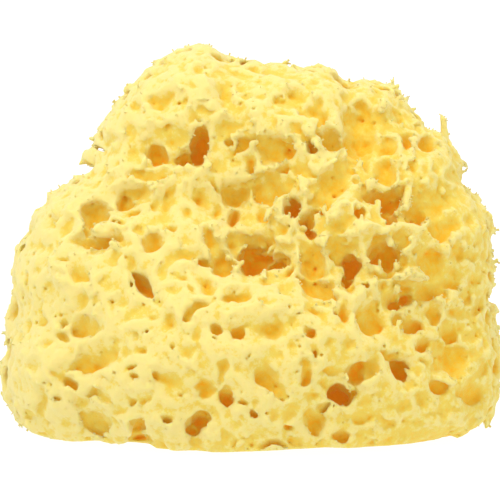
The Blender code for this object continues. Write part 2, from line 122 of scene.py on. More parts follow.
# Canals and hollows of the front: across, up, long width, short width, turn in degrees, and depth
# class, from 1 for a shallow dimple to 4 for the deepest.
frontHollows = {
    "crown": [
        (-40.5, 87.5, 4, 1.5, 0, 1), (-34, 89.5, 2, 2, 0, 1), (-32, 97, 3.5, 4, 90, 1.5),
        (-25.5, 98, 6, 4.5, 0, 2), (-27, 94.3, 2, 1, 0, 1), (-23, 91.5, 1.5, 1, 0, 1),
        (-17.5, 103, 3, 1.2, -10, 1), (-14.5, 108, 2.5, 1.5, 0, 1), (-12, 101.5, 1.5, 1.2, 0, 1),
        (-8, 101.5, 7, 2.5, 90, 1.5), (-3.8, 103, 2, 1.5, 90, 1), (-2, 100.5, 3, 2, 0, 1),
        (-14.2, 85.6, 11, 6.2, 78, 4), (-17.8, 82.4, 6.5, 4.6, 0, 3.6), (-22, 82.8, 7, 4.4, 0, 2.6),
        (-26, 83.4, 5.4, 4.6, -30, 3.3), (-28.5, 85.6, 4, 2, -20, 2), (-22, 87.4, 13, 5, 10, 1.3),
        (-8, 90.5, 5, 3, 0, 1.5), (-4, 87.9, 6, 1.2, -3, 2.5), (-1.5, 86.8, 5, 2.6, 20, 3),
        (-3.8, 85.5, 1.6, 1, 30, 2.5), (-0.5, 80.8, 6, 3, -75, 1.5), (0, 78.3, 1.2, 1.2, 0, 2),
        (-27.5, 77.7, 7, 2, 8, 1.5), (-29.5, 76, 1.4, 1.2, 0, 2.5), (-19.5, 78, 5, 2, 10, 1),
        (-31, 79.3, 1.2, 0.8, 30, 1), (8, 106.3, 8, 2.5, -5, 1), (5, 103.5, 3, 2.5, 90, 1.3),
        (17.3, 104.8, 2, 1.5, 0, 1), (3, 100, 2, 1, -20, 1), (8, 98.5, 1, 1, 0, 1),
        (10, 95.4, 2.5, 0.8, -8, 1.3), (6.5, 92.8, 2, 0.8, 80, 1), (17, 97, 5.5, 4.5, 45, 2),
        (20, 94, 4.5, 3.2, -70, 2.2), (20, 100, 3, 2, 40, 1.2), (12.8, 91, 3.4, 3.2, -30, 2),
        (14.8, 88.3, 3, 3, -50, 2), (17, 85.8, 3.2, 2.2, 90, 3.2), (20, 89.7, 3.6, 1.8, 20, 2),
        (23.2, 86.3, 5, 2.6, 0, 2.5), (28.5, 94, 4.2, 3.2, 80, 2.8), (27.5, 97.8, 3.2, 3, 0, 1.3),
        (31.5, 87.5, 12, 6, 82, 3), (37, 86.5, 6.5, 5.5, 0, 2), (36, 92, 6, 5, 90, 1.3),
        (7.5, 84, 8, 5, -20, 1.6), (9.6, 79.9, 2.8, 2.1, 0, 3.2), (13, 79.5, 5, 4, -60, 2.2),
        (27.5, 80.2, 3.5, 3.5, 0, 2.6), (28.9, 77.3, 2, 1.5, 90, 2.2), (17.3, 78.3, 1, 1, 0, 1.5),
        (18.2, 82.3, 1.5, 1.5, 0, 1), (37, 77.5, 6.5, 5, 85, 2.5), (35.2, 99.3, 2.5, 2, 20, 1.5),
        (41.3, 94.8, 4, 3.6, 60, 2), (38.3, 95.7, 1, 1, 0, 1), (44.3, 87.5, 4, 2.2, 80, 2),
        (49.3, 86.3, 4.6, 3, -80, 2.3), (53.5, 81.8, 3, 2, 0, 1), (43, 79.5, 3, 1.5, 90, 1),
        (51.7, 79.3, 1.5, 0.8, 0, 1.2), (56.5, 78, 3, 2, 90, 1),
    ],
    "leftFlank": [
        (-49, 69, 4, 3, -30, 1.2), (-43.5, 64.8, 5, 4, 0, 2.2), (-38.5, 64.7, 2.6, 1.8, -20, 2),
        (-46.3, 62, 6, 2, 90, 1.8), (-43, 58.2, 8, 2.6, 5, 2.4), (-35.5, 69.7, 4, 3, 55, 2.1),
        (-33, 72.5, 7, 1.6, 5, 1.5), (-33, 67, 3, 2, 0, 2), (-44.5, 70, 1.2, 0.8, 0, 1),
        (-43.7, 71.7, 1.2, 0.8, 0, 1), (-53.5, 54.2, 3, 1.6, 0, 1.8), (-49, 50.5, 6, 5.5, -60, 2),
        (-53.8, 49.6, 2.6, 0.9, -18, 1.2), (-48, 42.5, 5, 3, 75, 1.5), (-51, 39.6, 3.5, 1.2, 15, 1.3),
        (-56.5, 57, 2, 1, 90, 1), (-43.5, 53.5, 2, 2, 0, 1), (-63, 41, 3, 2.5, 0, 1),
        (-30.2, 47, 9.8, 4.8, -50, 3.4), (-34.2, 47.8, 3, 1.4, 90, 2.8), (-28, 58.2, 5, 4.6, 0, 2.2),
        (-30.2, 55.5, 3.8, 0.9, -52, 1.3), (-30.5, 70, 1.3, 0.8, 20, 1.5), (-32.5, 39, 8, 3, 5, 1.3),
        (-47.3, 34.3, 5, 4, 20, 2.4), (-52.4, 35.9, 3.4, 3.4, 0, 1.9), (-53.1, 32.3, 3, 2.5, 80, 2),
        (-57.5, 30.5, 6, 2.8, 10, 1.3), (-61.5, 24.5, 5, 5, -40, 1.4), (-63, 18.5, 3.6, 2.5, 90, 1.1),
        (-65.5, 33, 4, 2, 90, 1), (-43.5, 25, 11, 4.2, 22, 1.7), (-40.7, 21.5, 2.5, 0.9, -8, 2.2),
        (-48.3, 21.7, 1.6, 0.8, 0, 2), (-51, 19, 4.6, 2.4, -35, 2.1), (-54.4, 21.7, 3.6, 0.9, -22, 1.3),
        (-45.5, 16.5, 3, 2.2, 0, 2.6), (-47.7, 13.8, 3.8, 3, 10, 2.3), (-41.3, 16, 4.2, 4.2, -30, 2),
        (-55.3, 14.7, 2.3, 1.4, 0, 2), (-58.8, 12.7, 6, 2.4, 85, 1.9), (-52.5, 7.5, 4, 2, 0, 1),
        (-37.3, 11.7, 5, 3, 10, 1.8), (-33.5, 14.6, 3, 2.6, -20, 2.2), (-43.2, 7.3, 7.5, 4.6, -40, 2.5),
        (-42.5, 5, 2.2, 1.8, 0, 3), (-33.4, 24.2, 1.9, 1.1, 25, 2.6), (-33, 21, 2.1, 1.1, -25, 2.6),
        (-35.5, 28, 2, 2, 0, 1.1), (-39, 31.7, 0.9, 0.8, 0, 2), (-32.2, 6.6, 5.2, 4.2, 75, 3.8),
        (-31.6, 3.8, 6.4, 3.2, 0, 3.6), (-27.3, 42.8, 3, 1.6, -30, 1.2), (-36.5, 42, 4, 2.4, 40, 1.1),
        (-57, 44.5, 5, 3, 60, 1.1), (-60, 51, 4, 2.6, 20, 1), (-40.5, 47.5, 4.4, 2.6, -20, 1.2),
        (-38.5, 54.5, 3.4, 2.2, 30, 1.2), (-59.5, 36.5, 3.6, 2.4, -40, 1.1), (-42.5, 37, 3.2, 2.2, 70, 1.2),
        (-52, 62.5, 4.2, 2.6, 50, 1.1), (-57.5, 64.5, 3, 2, 80, 1), (-51, 26.5, 3.6, 2, 60, 1.2),
        (-62.5, 9.5, 3, 2, 70, 1),
    ],
    "middle": [
        (-23.3, 74.4, 3.4, 2, 30, 2.2), (-15.2, 71.8, 4, 3, 90, 2.2), (-10.7, 74.2, 3.6, 1.2, -70, 2),
        (-12, 77, 2, 1.5, 0, 1), (-4.3, 71, 5.2, 3.4, 15, 2.3), (-4.7, 65.4, 3.3, 2, 90, 2.4),
        (-14.7, 65, 2.6, 2, 10, 1.4), (-10.3, 67.3, 2.5, 1.8, 90, 1.3), (-22.3, 63, 1.7, 0.8, -25, 1.8),
        (-24, 68.5, 8, 4, 88, 1.2), (-3.7, 59.8, 1.5, 1.5, 0, 1.2), (-12.7, 53.4, 4.6, 1.6, -15, 3),
        (-8, 52.3, 6.6, 5.4, 80, 2.8), (-10.8, 58, 5.5, 2.6, -60, 2.2), (1.5, 53.8, 9.6, 8.8, 0, 4),
        (7.4, 52.6, 6, 3.8, 0, 3.8), (2, 58.2, 6, 2.5, 0, 2), (-22, 46, 4.5, 2.5, 0, 1.2),
        (-17.3, 45.8, 2.6, 0.9, -60, 1.6), (-13.2, 46.5, 6.5, 3.4, -65, 1.6), (-19, 49.5, 3, 1.5, -20, 1.1),
        (-4.2, 43.1, 7.4, 3, 5, 2.3), (6, 72.6, 9, 5, 10, 2.8), (12, 68.4, 5, 3.6, 70, 3.8),
        (3.3, 67.6, 5, 3, 85, 2.3), (5.3, 69, 1.6, 1.1, 20, 3), (7.8, 67.1, 2.5, 2, 0, 1.6),
        (18.3, 67, 3.1, 2.2, 5, 3.2), (16.3, 63, 5.2, 3.6, -70, 3.3), (19.5, 64, 5, 3, 90, 1.5),
        (15, 57.5, 5.2, 2.8, 70, 2.1), (17.3, 52.4, 7.2, 4.6, -70, 2), (15.7, 48.3, 0.9, 0.9, 0, 2),
        (17.9, 45.1, 7.4, 3, -45, 2.3), (5, 62, 8, 5, 0, 1.2), (4, 47.6, 1, 1, 0, 1.8),
        (13.7, 38.9, 1.4, 1, 0, 2.5), (17.5, 39.3, 3.6, 2, -30, 1.8), (-18.5, 59.8, 4, 2.4, 10, 1),
        (9.5, 61.5, 2.6, 1.6, 60, 1.2), (10.5, 45.5, 4.6, 2.6, 20, 1.2), (4.5, 42.5, 3.4, 2, -20, 1.1),
        (-18, 67.5, 3, 2, 70, 1.1), (-8.5, 62.5, 3, 1.8, 20, 1.1), (22, 59, 3.2, 2, 60, 1.3),
        (22.5, 47.5, 3.2, 2, 80, 1.3), (11, 50.5, 2.4, 1.6, 40, 1.2), (-24.5, 50.5, 3, 1.8, 60, 1.2),
    ],
    "rightFlank": [
        (30.8, 67.5, 3.4, 2.6, 80, 2.6), (25, 63.6, 6, 3.4, 25, 1.6), (37.8, 70.8, 10, 5.2, 0, 3.5),
        (38.2, 66.8, 6.4, 4.4, -80, 3.6), (25.5, 55.5, 5, 4.4, -40, 2.5), (28, 52.3, 5.6, 5.6, 0, 3.8),
        (27.2, 47.8, 4.4, 3, -85, 3.7), (28.5, 59.5, 2, 2, 0, 1.4), (37.6, 55, 8.4, 6.2, 30, 3.6),
        (36.8, 59.2, 3.4, 3, 90, 3), (41.5, 58.7, 5, 3.8, 40, 2.6), (33, 46.7, 1.6, 1.3, 0, 2.3),
        (32.2, 44.3, 1.1, 0.9, 0, 1.8), (35.2, 42.7, 1, 1, 0, 2), (28.7, 40.3, 1.3, 1, 0, 2),
        (30.2, 41, 1, 0.9, 0, 2), (37.4, 47.1, 2.1, 1.9, 0, 2), (23.2, 39.1, 1.3, 1.3, 0, 2.7),
        (26, 38.3, 4.8, 2.4, -80, 2.1), (47, 67.8, 8, 6.6, 20, 2.9), (45.8, 66.2, 4, 3.4, 0, 3.4),
        (53.8, 62.5, 6.6, 6.4, 0, 2), (52, 69, 8, 6, 20, 1.8), (43.4, 43.8, 3.8, 3.2, 70, 3.2),
        (40.4, 41.3, 3.9, 3.7, 0, 3.3), (48, 57, 3.2, 2.6, 20, 1.7), (43.3, 53.3, 1.5, 1.3, 0, 1),
        (51, 51.5, 8, 5, 80, 1.4), (56.7, 47.6, 3.2, 3, 0, 1.9), (50, 44.3, 6.5, 4, 0, 1.6),
        (50.3, 43.3, 1, 1, 0, 2), (63, 48.7, 2.6, 2.4, 0, 1.2), (59, 55.5, 4.2, 3, 90, 1.8),
        (62.7, 55.3, 3, 2, -10, 1.8), (54, 48, 8, 3, 20, 1.3), (58.4, 38.6, 3, 2.6, 0, 1.8),
        (63.5, 39.7, 2.6, 2.6, 0, 1.3), (51.5, 37.6, 4, 3.4, -70, 1.9), (60.5, 65.5, 3.4, 2.4, 70, 1.2),
        (64, 59.5, 2.6, 1.8, 60, 1.1), (60.5, 43.5, 3.6, 2.2, 20, 1.2), (44, 73.5, 3, 2, 20, 1.3),
        (31, 74, 2.6, 1.8, 60, 1.2), (34.5, 62.5, 2.6, 1.6, 30, 1.2), (46, 48.5, 3.2, 2, 50, 1.3),
    ],
    "foot": [
        (-22.6, 37, 4, 2.8, 90, 2.1), (-22.3, 36, 1.6, 1.4, 0, 2.6), (-28, 37.8, 2.6, 0.8, -15, 1.8),
        (-29.7, 33.6, 1.6, 1.4, 30, 2.3), (-22.4, 30.3, 1.3, 1.2, 0, 2.1), (-30.5, 29, 1.1, 0.9, 0, 1.6),
        (-18.5, 28.5, 6, 4, -20, 1.3), (-14, 25.6, 2.8, 2.6, 90, 1.3), (-23.5, 34.5, 6, 5, -40, 1.2),
        (-9.7, 34.2, 3.5, 3.5, 0, 2.6), (-3, 33, 3.3, 3.3, 0, 2.6), (-10.7, 31.6, 1.8, 1, -20, 1.7),
        (-0.7, 27.8, 2.1, 1.7, 60, 2.3), (-26.5, 22.1, 2.3, 1.8, 15, 2.7), (-22.5, 19.5, 8, 4.5, -25, 1.5),
        (-19, 16.3, 1.6, 1.2, 0, 1.9), (-12.8, 17.5, 5.6, 4.6, -80, 2.1), (-8.4, 24, 4.4, 3.6, -60, 2.4),
        (-9.5, 20.3, 4, 2.8, 75, 2), (-8, 20.8, 1, 1, 0, 2.3), (-10.6, 18.7, 1, 1, 0, 2.3),
        (-7.5, 15.2, 5.6, 4, -80, 3.2), (-6.4, 16.2, 2, 2, 0, 4), (-2.2, 14.1, 2.1, 1, -10, 2.3),
        (0.8, 11.1, 3.3, 2.4, -80, 2.8), (-24.6, 9.3, 3, 2.6, -20, 2.6), (-14.5, 8.5, 5, 4.6, 30, 3.5),
        (-16, 6.3, 4.2, 4, 30, 3.3), (-14.2, 7.2, 2, 1.5, 40, 4), (-15.3, 2.8, 4, 3, 90, 2),
        (-29, 15.4, 2.6, 2, 30, 1.5), (-4.7, 3.7, 2, 1.2, -20, 2), (5, 2.7, 16, 2.2, -2, 2.3),
        (1, 2.7, 1.1, 1.1, 0, 3), (5, 33.8, 8.6, 4, 5, 1.7), (16.3, 33.7, 2.7, 2.6, 0, 2.4),
        (21.8, 30.8, 2, 1.3, 80, 1.5), (8.6, 27.2, 1, 0.9, 0, 2.3), (15.6, 25.2, 3, 2.6, 0, 2.1),
        (18.2, 26.8, 3.4, 2, -70, 2.2), (15.4, 20.9, 5.2, 3.4, 65, 2.4), (4.2, 20, 7, 5, -60, 2.3),
        (7.5, 17, 4.5, 4, -45, 1.8), (4.8, 19.3, 2, 1.2, 0, 2.9), (7.7, 17, 1, 1, 0, 2.3),
        (25, 16, 8.6, 6.8, -28, 4), (21.2, 12.4, 4, 3, 20, 2.6), (21, 19.3, 3, 1.5, 30, 2),
        (22.7, 23.2, 2.9, 1.3, 0, 2.3), (30, 22.5, 6.2, 5.8, 90, 3.5), (33.5, 22.8, 5.4, 5, 0, 3),
        (33.8, 36, 6.6, 5.6, -60, 2.6), (33, 35.9, 1.2, 1.2, 0, 3.2), (17.9, 8, 7.5, 4.8, 90, 2.5),
        (17.7, 7.3, 1.1, 1, 0, 3), (11.5, 11.5, 6, 4, 40, 1.5), (6.5, 10, 4, 3, 90, 1.5),
        (10.6, 7.3, 2.3, 1.3, -30, 3.2), (26.3, 3.4, 4.4, 3.4, 0, 2.6), (31, 9, 5, 2, 0, 1.2),
        (33.8, 5.8, 1, 0.9, 0, 1.6), (36, 15.6, 2, 1, 35, 2), (41.8, 23, 7, 5.4, -65, 3.5),
        (40, 26.6, 5.4, 2.8, 5, 2.3), (45.5, 34.6, 4.6, 3, -20, 2.4), (42, 37.8, 4, 2.3, 75, 2.2),
        (48.8, 29.4, 4.8, 3.4, 30, 2.5), (56.4, 32.5, 4.8, 3.8, -30, 2.6), (59.5, 35.4, 2.6, 1.8, -30, 2.3),
        (56.3, 25.6, 8, 6.6, -70, 2.1), (62.5, 32.5, 4.4, 3.4, 20, 1.8), (53, 18.4, 4.2, 3.6, 90, 2.3),
        (62, 15.8, 5.5, 5.5, -30, 2.1), (59.2, 16.8, 2.8, 2.6, 0, 2.1), (43.3, 12.3, 3.2, 3, 0, 1.3),
        (47.4, 9.3, 1.5, 1, 30, 1.9), (40.3, 7.4, 1.3, 0.9, 0, 1.6), (46.7, 18.4, 1, 0.9, 0, 2),
        (37.3, 28.3, 1.3, 0.9, 0, 1.8), (55.8, 7.4, 1.7, 0.9, 0, 1.8), (58.2, 4.3, 0.9, 0.9, 0, 2.4),
        (47.2, 5.2, 0.9, 0.9, 0, 1.3), (64.8, 22, 5, 2.5, 80, 1.2), (62.5, 27, 3, 3, 0, 1.1),
        (49, 25.4, 1, 1, 0, 1.5), (53.5, 10.7, 5, 0.9, 3, 1.2), (-16.5, 33, 3.2, 2, 40, 1.1),
        (9.5, 38.5, 4, 2.2, 30, 1.1), (27, 29.5, 3.6, 2.2, 30, 1.3), (12, 30, 3, 1.8, 60, 1.1),
        (-17.5, 21.5, 3, 2, 30, 1.1), (-3.5, 8.5, 3, 2, 60, 1.3), (37.5, 18.5, 3, 1.8, 40, 1.3),
        (49, 14.5, 3.2, 2.2, 50, 1.2), (32, 14, 3, 2, 20, 1.2), (-26, 27.5, 3, 2, 10, 1.1),
    ],
    # depth in mm for class 1, how it grows with the class, and the most for a narrow hole
    "firstDepth": 1.0,
    "depthPower": 1.35,
    "deepFrom": 3.0,
    "deepExtra": 5.0,
    "mostWidths": 2.6,
    "lean": 0.3,
    # canals run down as they run in, below a soft upper slope and behind a sharp lip, the deepest
    # ones least: how much, by depth class
    "droop": ((1, 2, 3, 4), (0.4, 0.7, 0.45, 0.15)),
    # a dimple up to the first class is a soft bowl, and from the second on it is a canal with a rim
    "bowlTo": (1.2, 2.4),
    # the deepest have hardly any flare at the mouth
    "crispFrom": (2.8, 3.8),
    "crispest": 0.75,
    # a mouth is stretched along the slope of the skin, so that it looks as wide as its row says
    "leastFacing": 0.45,
    "stretch": 0.8,
    "leastWidths": (1.1, 0.9),
    "dishGain": 0.22,
    "dishFrom": 1.8,
    "dishMost": 2.5,
    "grooveWidths": (1.1, 0.9),
}

# Broad soft sinks of the front, in which groups of canals lie, and a few swells with a depth below
# 0: across, up, long width, short width, turn in degrees, depth in mm.
frontSinks = [
    (-19, 86, 21, 11, 5, 5.0), (31, 88, 16, 13, 70, 2.6), (8, 84, 13, 8, -20, 2.0),
    (50, 68, 17, 12, 20, 3.2), (47, 55, 14, 8, 30, 2.0), (38, 69, 13, 10, 0, 2.4), (28, 51, 9, 11, 0, 1.8),
    (2, 53.5, 14, 11, 0, 2.4), (-9, 54, 12, 8, 0, 2.0), (-44, 60, 17, 10, 0, 2.4),
    (-44, 25, 15, 8, 22, 2.0), (-43, 8, 11, 8, -40, 2.0), (-13, 9, 13, 10, 0, 2.2), (17, 8, 11, 9, 0, 2.0),
    (25, 17, 14, 11, -28, 2.6), (5, 19, 11, 9, -60, 1.8), (55, 27, 13, 12, -70, 2.2),
    (42, 24, 10, 9, -65, 2.0), (61, 15, 9, 7, -30, 1.8), (16, 52, 10, 12, -70, 1.6), (15, 63, 9, 8, 0, 2.0),
    (8, 70, 14, 10, 10, 2.2), (-16, 17, 14, 10, 0, 1.6), (-28, 58, 10, 8, 0, 1.4), (37, 80, 11, 9, 85, 2.0),
    (56, 49, 17, 7, 15, 2.0), (-31, 47, 12, 7, -50, 2.0), (23, 76, 14, 7, 55, 1.8),
    (-33, 70, 11, 7, 20, 1.8), (5, 34, 12, 6, 5, 1.2), (-6, 34, 12, 6, 0, 1.0), (36, 37, 10, 8, -60, 1.6),
    (-8, 64, 14, 8, 10, -1.2), (-2, 40, 16, 6, 0, -1.4), (33, 62.5, 12, 5, 20, -1.4),
    (-5, 28, 14, 6, 0, -0.8), (38, 49, 14, 5, 15, -1.2), (-60, 30, 10, 20, 0, -0.8),
    (30, 42, 12, 5, 0, -0.8), (-15, 104, 18, 12, 0, -0.8), (-50, 1.5, 18, 6, 5, 2.4),
    (54, 2.5, 18, 7, -5, 2.6), (-29.5, 2, 8, 6, 0, 2.5), (-36, 78, 14, 8, 40, -1.2),
    (2, 95, 14, 9, 0, -0.8), (12, 88, 8, 12, 0, -0.6), (44, 64, 4, 12, 10, -1.4),
]

# Where the front is ragged, with sharp ridges and teeth between its hollows, and not a smooth skin
# with single pores: across, up, reach, strength.
frontRagged = [
    (-22, 92, 15, 0.5), (8, 92, 18, 0.8), (38, 86, 15, 1.0), (-28, 73, 15, 0.7), (8, 68, 15, 1.0),
    (38, 60, 18, 1.0), (-2, 54, 11, 0.9), (20, 50, 12, 0.9), (50, 41, 12, 0.7), (-45, 62, 12, 0.7),
    (-45, 34, 9, 0.4), (-46, 12, 12, 0.5), (30, 20, 13, 0.5), (58, 22, 12, 0.5), (-12, 10, 9, 0.4),
]

# Long bent hollows of the front: the points along each, its width, and its depth class.
frontGrooves = [
    ([(28, 80.5), (24, 75.5), (19.7, 70.5)], 4.5, 2.4),
    ([(-25, 52), (-22.5, 55.5), (-19, 57), (-15.5, 55.5), (-12, 53.2)], 2.6, 1.7),
    ([(-18.5, 37.8), (-17, 40.3), (-14.2, 41)], 2.2, 2.2),
]

# Ridges, teeth, tongues and bumps that stand up inside or beside the hollows: points, half width
# at the first and at the last point, and how deep below the dome's skin they lie.
frontStrands = [
    ([(6, 67.5), (7, 69.3), (8.8, 70.2), (10.7, 69.6)], 1.0, 0.5, 2.5),
    ([(-34.6, 49.8), (-32.6, 47.6)], 1.1, 0.4, 1.2),
    ([(-6.2, 54.6), (-4.2, 53.2)], 1.0, 0.4, 1.0),
    ([(13.2, 62.9), (15.2, 62.6)], 1.0, 0.4, 1.5),
    ([(39.4, 61.6), (39.4, 58.6)], 0.9, 0.4, 2.0),
    ([(36.2, 50.6), (36.2, 53.4)], 0.9, 0.4, 2.0),
    ([(16.6, 28.6), (16.3, 26.2)], 0.9, 0.4, 1.5),
    ([(44.5, 50.2), (47.5, 49.2), (50.2, 48.7)], 1.5, 0.5, -0.5),
    ([(45, 76.5), (44, 72.5), (43.4, 68.5)], 1.2, 0.9, 1.0),
    ([(33.6, 75.4), (36.8, 74.5), (40.8, 73.9)], 1.7, 0.3, 0.4),
    ([(52.6, 20.9), (54.8, 21), (56.6, 20)], 1.0, 0.7, 0.0),
    ([(16.4, 90.6), (16.6, 90.9)], 1.9, 1.8, 0.6),
    ([(-41.6, 62.2), (-41.3, 62.4)], 2.3, 2.2, 0.8),
    ([(53.2, 70.2), (53.5, 70.5)], 1.1, 0.9, 0.5),
    ([(-5.6, 41.0), (-4.9, 41.2)], 1.2, 1.0, 1.4),
    ([(6.0, 57.4), (5.0, 55.6)], 0.6, 0.25, 2.4),
    ([(-17.8, 79.6), (-17.3, 82.4)], 0.9, 0.25, 0.6),
    ([(-20.2, 79.6), (-20.6, 81.8)], 0.8, 0.25, 0.6),
    ([(-12.2, 80.2), (-13.0, 82.0)], 0.8, 0.25, 0.6),
    ([(-0.4, 48.4), (-0.2, 50.4)], 0.8, 0.25, 0.6),
    ([(3.4, 48.6), (3.9, 50.8)], 0.8, 0.25, 0.6),
    ([(7.2, 49.4), (6.6, 51.4)], 0.8, 0.25, 0.6),
    ([(25.6, 44.6), (26.0, 46.6)], 0.8, 0.25, 0.6),
    ([(22.2, 11.2), (22.8, 13.0)], 0.8, 0.25, 0.6),
    ([(26.2, 11.6), (26.0, 13.4)], 0.8, 0.25, 0.6),
    ([(36.8, 62.2), (37.6, 64.6)], 0.9, 0.25, 0.8),
    ([(40.6, 63.0), (39.8, 64.8)], 0.8, 0.25, 0.8),
    ([(41.0, 52.2), (40.2, 53.8)], 0.8, 0.25, 0.8),
]

# Pointed growths at the outline: foot (across, up), tip (across, up), half width at the foot.
outlineSpines = [
    ((52.4, 83), (54.7, 91.2), 2.2), ((54.6, 89.4), (53.7, 95), 1.2), ((-47.3, 79.5), (-46.2, 84.6), 1.6),
    ((-46.2, 84), (-42.8, 87.4), 1.0), ((9, 104), (12, 109), 1.8), ((-2, 107), (-5.4, 111.6), 1.4),
    ((-48, 75.5), (-50.6, 79.4), 1.6), ((42.5, 93), (46.4, 96.4), 1.6), ((64, 61.5), (69, 62.5), 1.5),
    ((65, 50.2), (69.7, 50.9), 1.4), ((-64, 26), (-69.9, 26), 1.5), ((-63, 50.2), (-67.5, 50.9), 1.3),
    ((57, 79), (59.6, 81), 1.2), ((55.5, 6), (57.8, 2.7), 1.3), ((-65, 14.5), (-69.3, 15), 1.4),
    ((-54.5, 70.5), (-57.8, 73.2), 1.4), ((19, 105.5), (19.1, 108.8), 1.2), ((65.5, 39), (69, 39.9), 1.2),
]

# Gaps right through the edge of the dome: across, up, long width, short width, turn in degrees.
outlineGaps = [(-47.0, 79.4, 7.6, 3.2, 8), (-42.3, 85.1, 4.6, 1.1, -25)]

# How high the lower edge of the front stands off the ground: across, height.
footEdge = [
    (-66, 4.0), (-61, 2.8), (-57, 2.0), (-50, 1.7), (-42, 2.8), (-38.5, 1.4), (-35, 2.4), (-33, 3.8),
    (-29.5, 5.2), (-28, 3.0), (-26, 1.2), (-15, 1.7), (-10, 1.2), (0, 1.7), (10, 2.1), (20, 2.4), (28, 1.8),
    (35, 1.8), (45, 1.8), (52, 2.4), (55, 4.0), (57.7, 0.6), (60, 2.6), (65, 4.6),
]

# Canals and dimples away from the listed ones, from large to small. The first two steps keep off
# the front and match the solid's. The rest only fill what is left.
fillCanals = {
    "steps": [
        dict(tries=700, halfWidth=(3.0, 4.6), depth=(10, 17), gap=3.0, front=False, offEdge=0.1),
        dict(tries=1500, halfWidth=(1.9, 3.0), depth=(6, 10), gap=1.1, front=False, offEdge=0.05),
        dict(tries=2500, halfWidth=(1.2, 2.1), depth=(3, 8), gap=1.2, front=False, offEdge=0),
        dict(tries=3000, halfWidth=(0.8, 1.6), depth=(0.8, 1.8), gap=1.7, front=True, offEdge=0),
    ],
    "frontLimit": 0.30,
    "droop": 0.5,
    "lean": 0.25,
    "longest": 1.7,      # times as long as wide
    "middle": np.array((0.0, 0.0, 40.0)),
    "outside": 120.0,
    "upright": (0.3, 0.2, 0.93),
    "dishGain": 0.3,
    "dishFrom": 1.9,
    "bowlTo": (1.0, 3.0),
}

# Upright canals that the cut laid open in the base, laid out as the solid's are.
baseHollows = {
    "tries": 500,
    "reach": (62.0, 50.0),
    "halfWidth": (1.8, 4.2),
    "depth": (5.0, 12.0),
    "gap": 3.0,
    "rim": 7.0,
    "middle": 8.0,
    "longest": 1.7,
}

# How a canal's wall runs, and how the skin sinks to a dish round each mouth. Ridges stay between
# the dishes, highest where three meet, and there the pointed tips stand.
relief = {
    "flare": (0.6, 0.2),      # where the skin is ragged, where it is smooth
    "flareDepth": 1.6,
    "flareTop": 0.6,
    # the upper side of a mouth is a long soft slope and the lower side a sharp raised lip
    "flareTurn": 0.9,
    "flareDepthTurn": 0.75,
    "lip": dict(size=0.3, highest=1.1, least=0.15, smooth=0.35, out=0.28, width=0.3, deep=1.3),
    "undercut": 0.1,
    "headroom": 2.5,
    "smoothWidth": 0.84,      # how much narrower the canals are where the skin is smooth
    "mostLift": 4.0,
    "rimBlend": (0.8, 0.35),
    "bowlBlend": 1.6,
    "bowlWidth": 1.15,
    "sink": dict(share=0.6, through=14.0, reach=1.2, margin=8.0),
    "leastDish": 0.08,
    "dishDepth": 3.0,
    "dishEdge": 2.8,
    "dishRound": (1.7, 1.05),
    "dishSize": (2.0, 0.8),
    "dishLift": 0.6,
    "ridgeSag": 1.2,
    "ridgeSagEdge": 3.0,
    "dishReach": 4.2,
    "dishBlock": 13.0,
    "warp": ((4.0, 1.0),),      # spacing and size of the waviness, mm
    "raggedWarp": ((1.8, 0.7),),
    "dishShare": (0.12, 0.95),      # of the dishes, where the skin is smooth and what ragged places add
    "jags": ((3.0, 1.0), (1.5, 0.6)),
    "jagShare": (0.15, 0.85),
    "jagReach": 0.9,
    "lumps": ((9.0, 1.1), (4.5, 0.5)),
    "raggedLumps": ((7.5, 2.3), (3.6, 0.8)),
    # how ragged the back and sides are: least, swing, spacing, and what is strewn over all of it
    "elsewhere": dict(least=0.6, swing=0.4, spacing=26.0, fade=8.0, stray=0.15, strayOver=12.0),
    "calmest": 0.1,
    "grain": ((2.6, 0.55), (1.3, 0.45)),
    "grainShare": (1.0, -0.3),
    "sharpFrom": 0.43,
    "sharpSpan": 0.2,
    "strandWarp": 0.4,
    "strandBlend": 0.6,
    "spineTip": 0.3,
    "tips": dict(
        count=420, length=(1.3, 3.2), foot=(0.4, 0.65), tip=0.1, apart=3.2, sharp=0.55, deepest=4.0,
        layDown=(0.1, 0.9), rise=0.35, stray=0.3, near=0.3, leastRagged=0.3, rooted=0.8, bendAt=0.55,
        bend=0.4, lowest=1.0,
    ),
    "pores": dict(count=1800, halfWidth=(0.3, 0.6), apart=1.6, near=0.25, second=1.1, reach=2.2),
}


def sightAxes():
    up = np.array((0.0, np.sin(sight["tilt"]), np.cos(sight["tilt"])))
    back = np.array((0.0, -np.cos(sight["tilt"]), np.sin(sight["tilt"])))
    return np.array((1.0, 0.0, 0.0)), up, back


def planePoint(across, rise):
    right, up, _ = sightAxes()
    middle = sight["centre"]
    return middle + (across - middle[0]) * right + (rise - sight["centreUp"]) * up


def planeWays(turn):
    # the long and the short way of a shape that lies on the plane, turned by so many degrees
    right, up, _ = sightAxes()
    turn = radians(turn)
    return right * np.cos(turn) + up * np.sin(turn), up * np.cos(turn) - right * np.sin(turn)


def smoothUnion(first, second, blend):
    share = np.clip(0.5 + 0.5 * (second - first) / blend, 0, 1)
    return second + (first - second) * share - blend * share * (1 - share)


def bodyDistance(x, y, z):
    nearest = None
    for cx, cy, cz, rx, ry, rz in body["lobes"]:
        sx, sy, sz = (x - cx) / rx, (y - cy) / ry, (z - cz) / rz
        reach = np.sqrt(sx * sx + sy * sy + sz * sz)
        slope = np.sqrt((sx / rx) ** 2 + (sy / ry) ** 2 + (sz / rz) ** 2) + 1e-9
        lobe = reach * (reach - 1) / slope
        nearest = lobe if nearest is None else smoothUnion(nearest, lobe, body["lobeBlend"])
    return nearest


def distanceAt(points):
    return bodyDistance(points[:, 0], points[:, 1], points[:, 2])


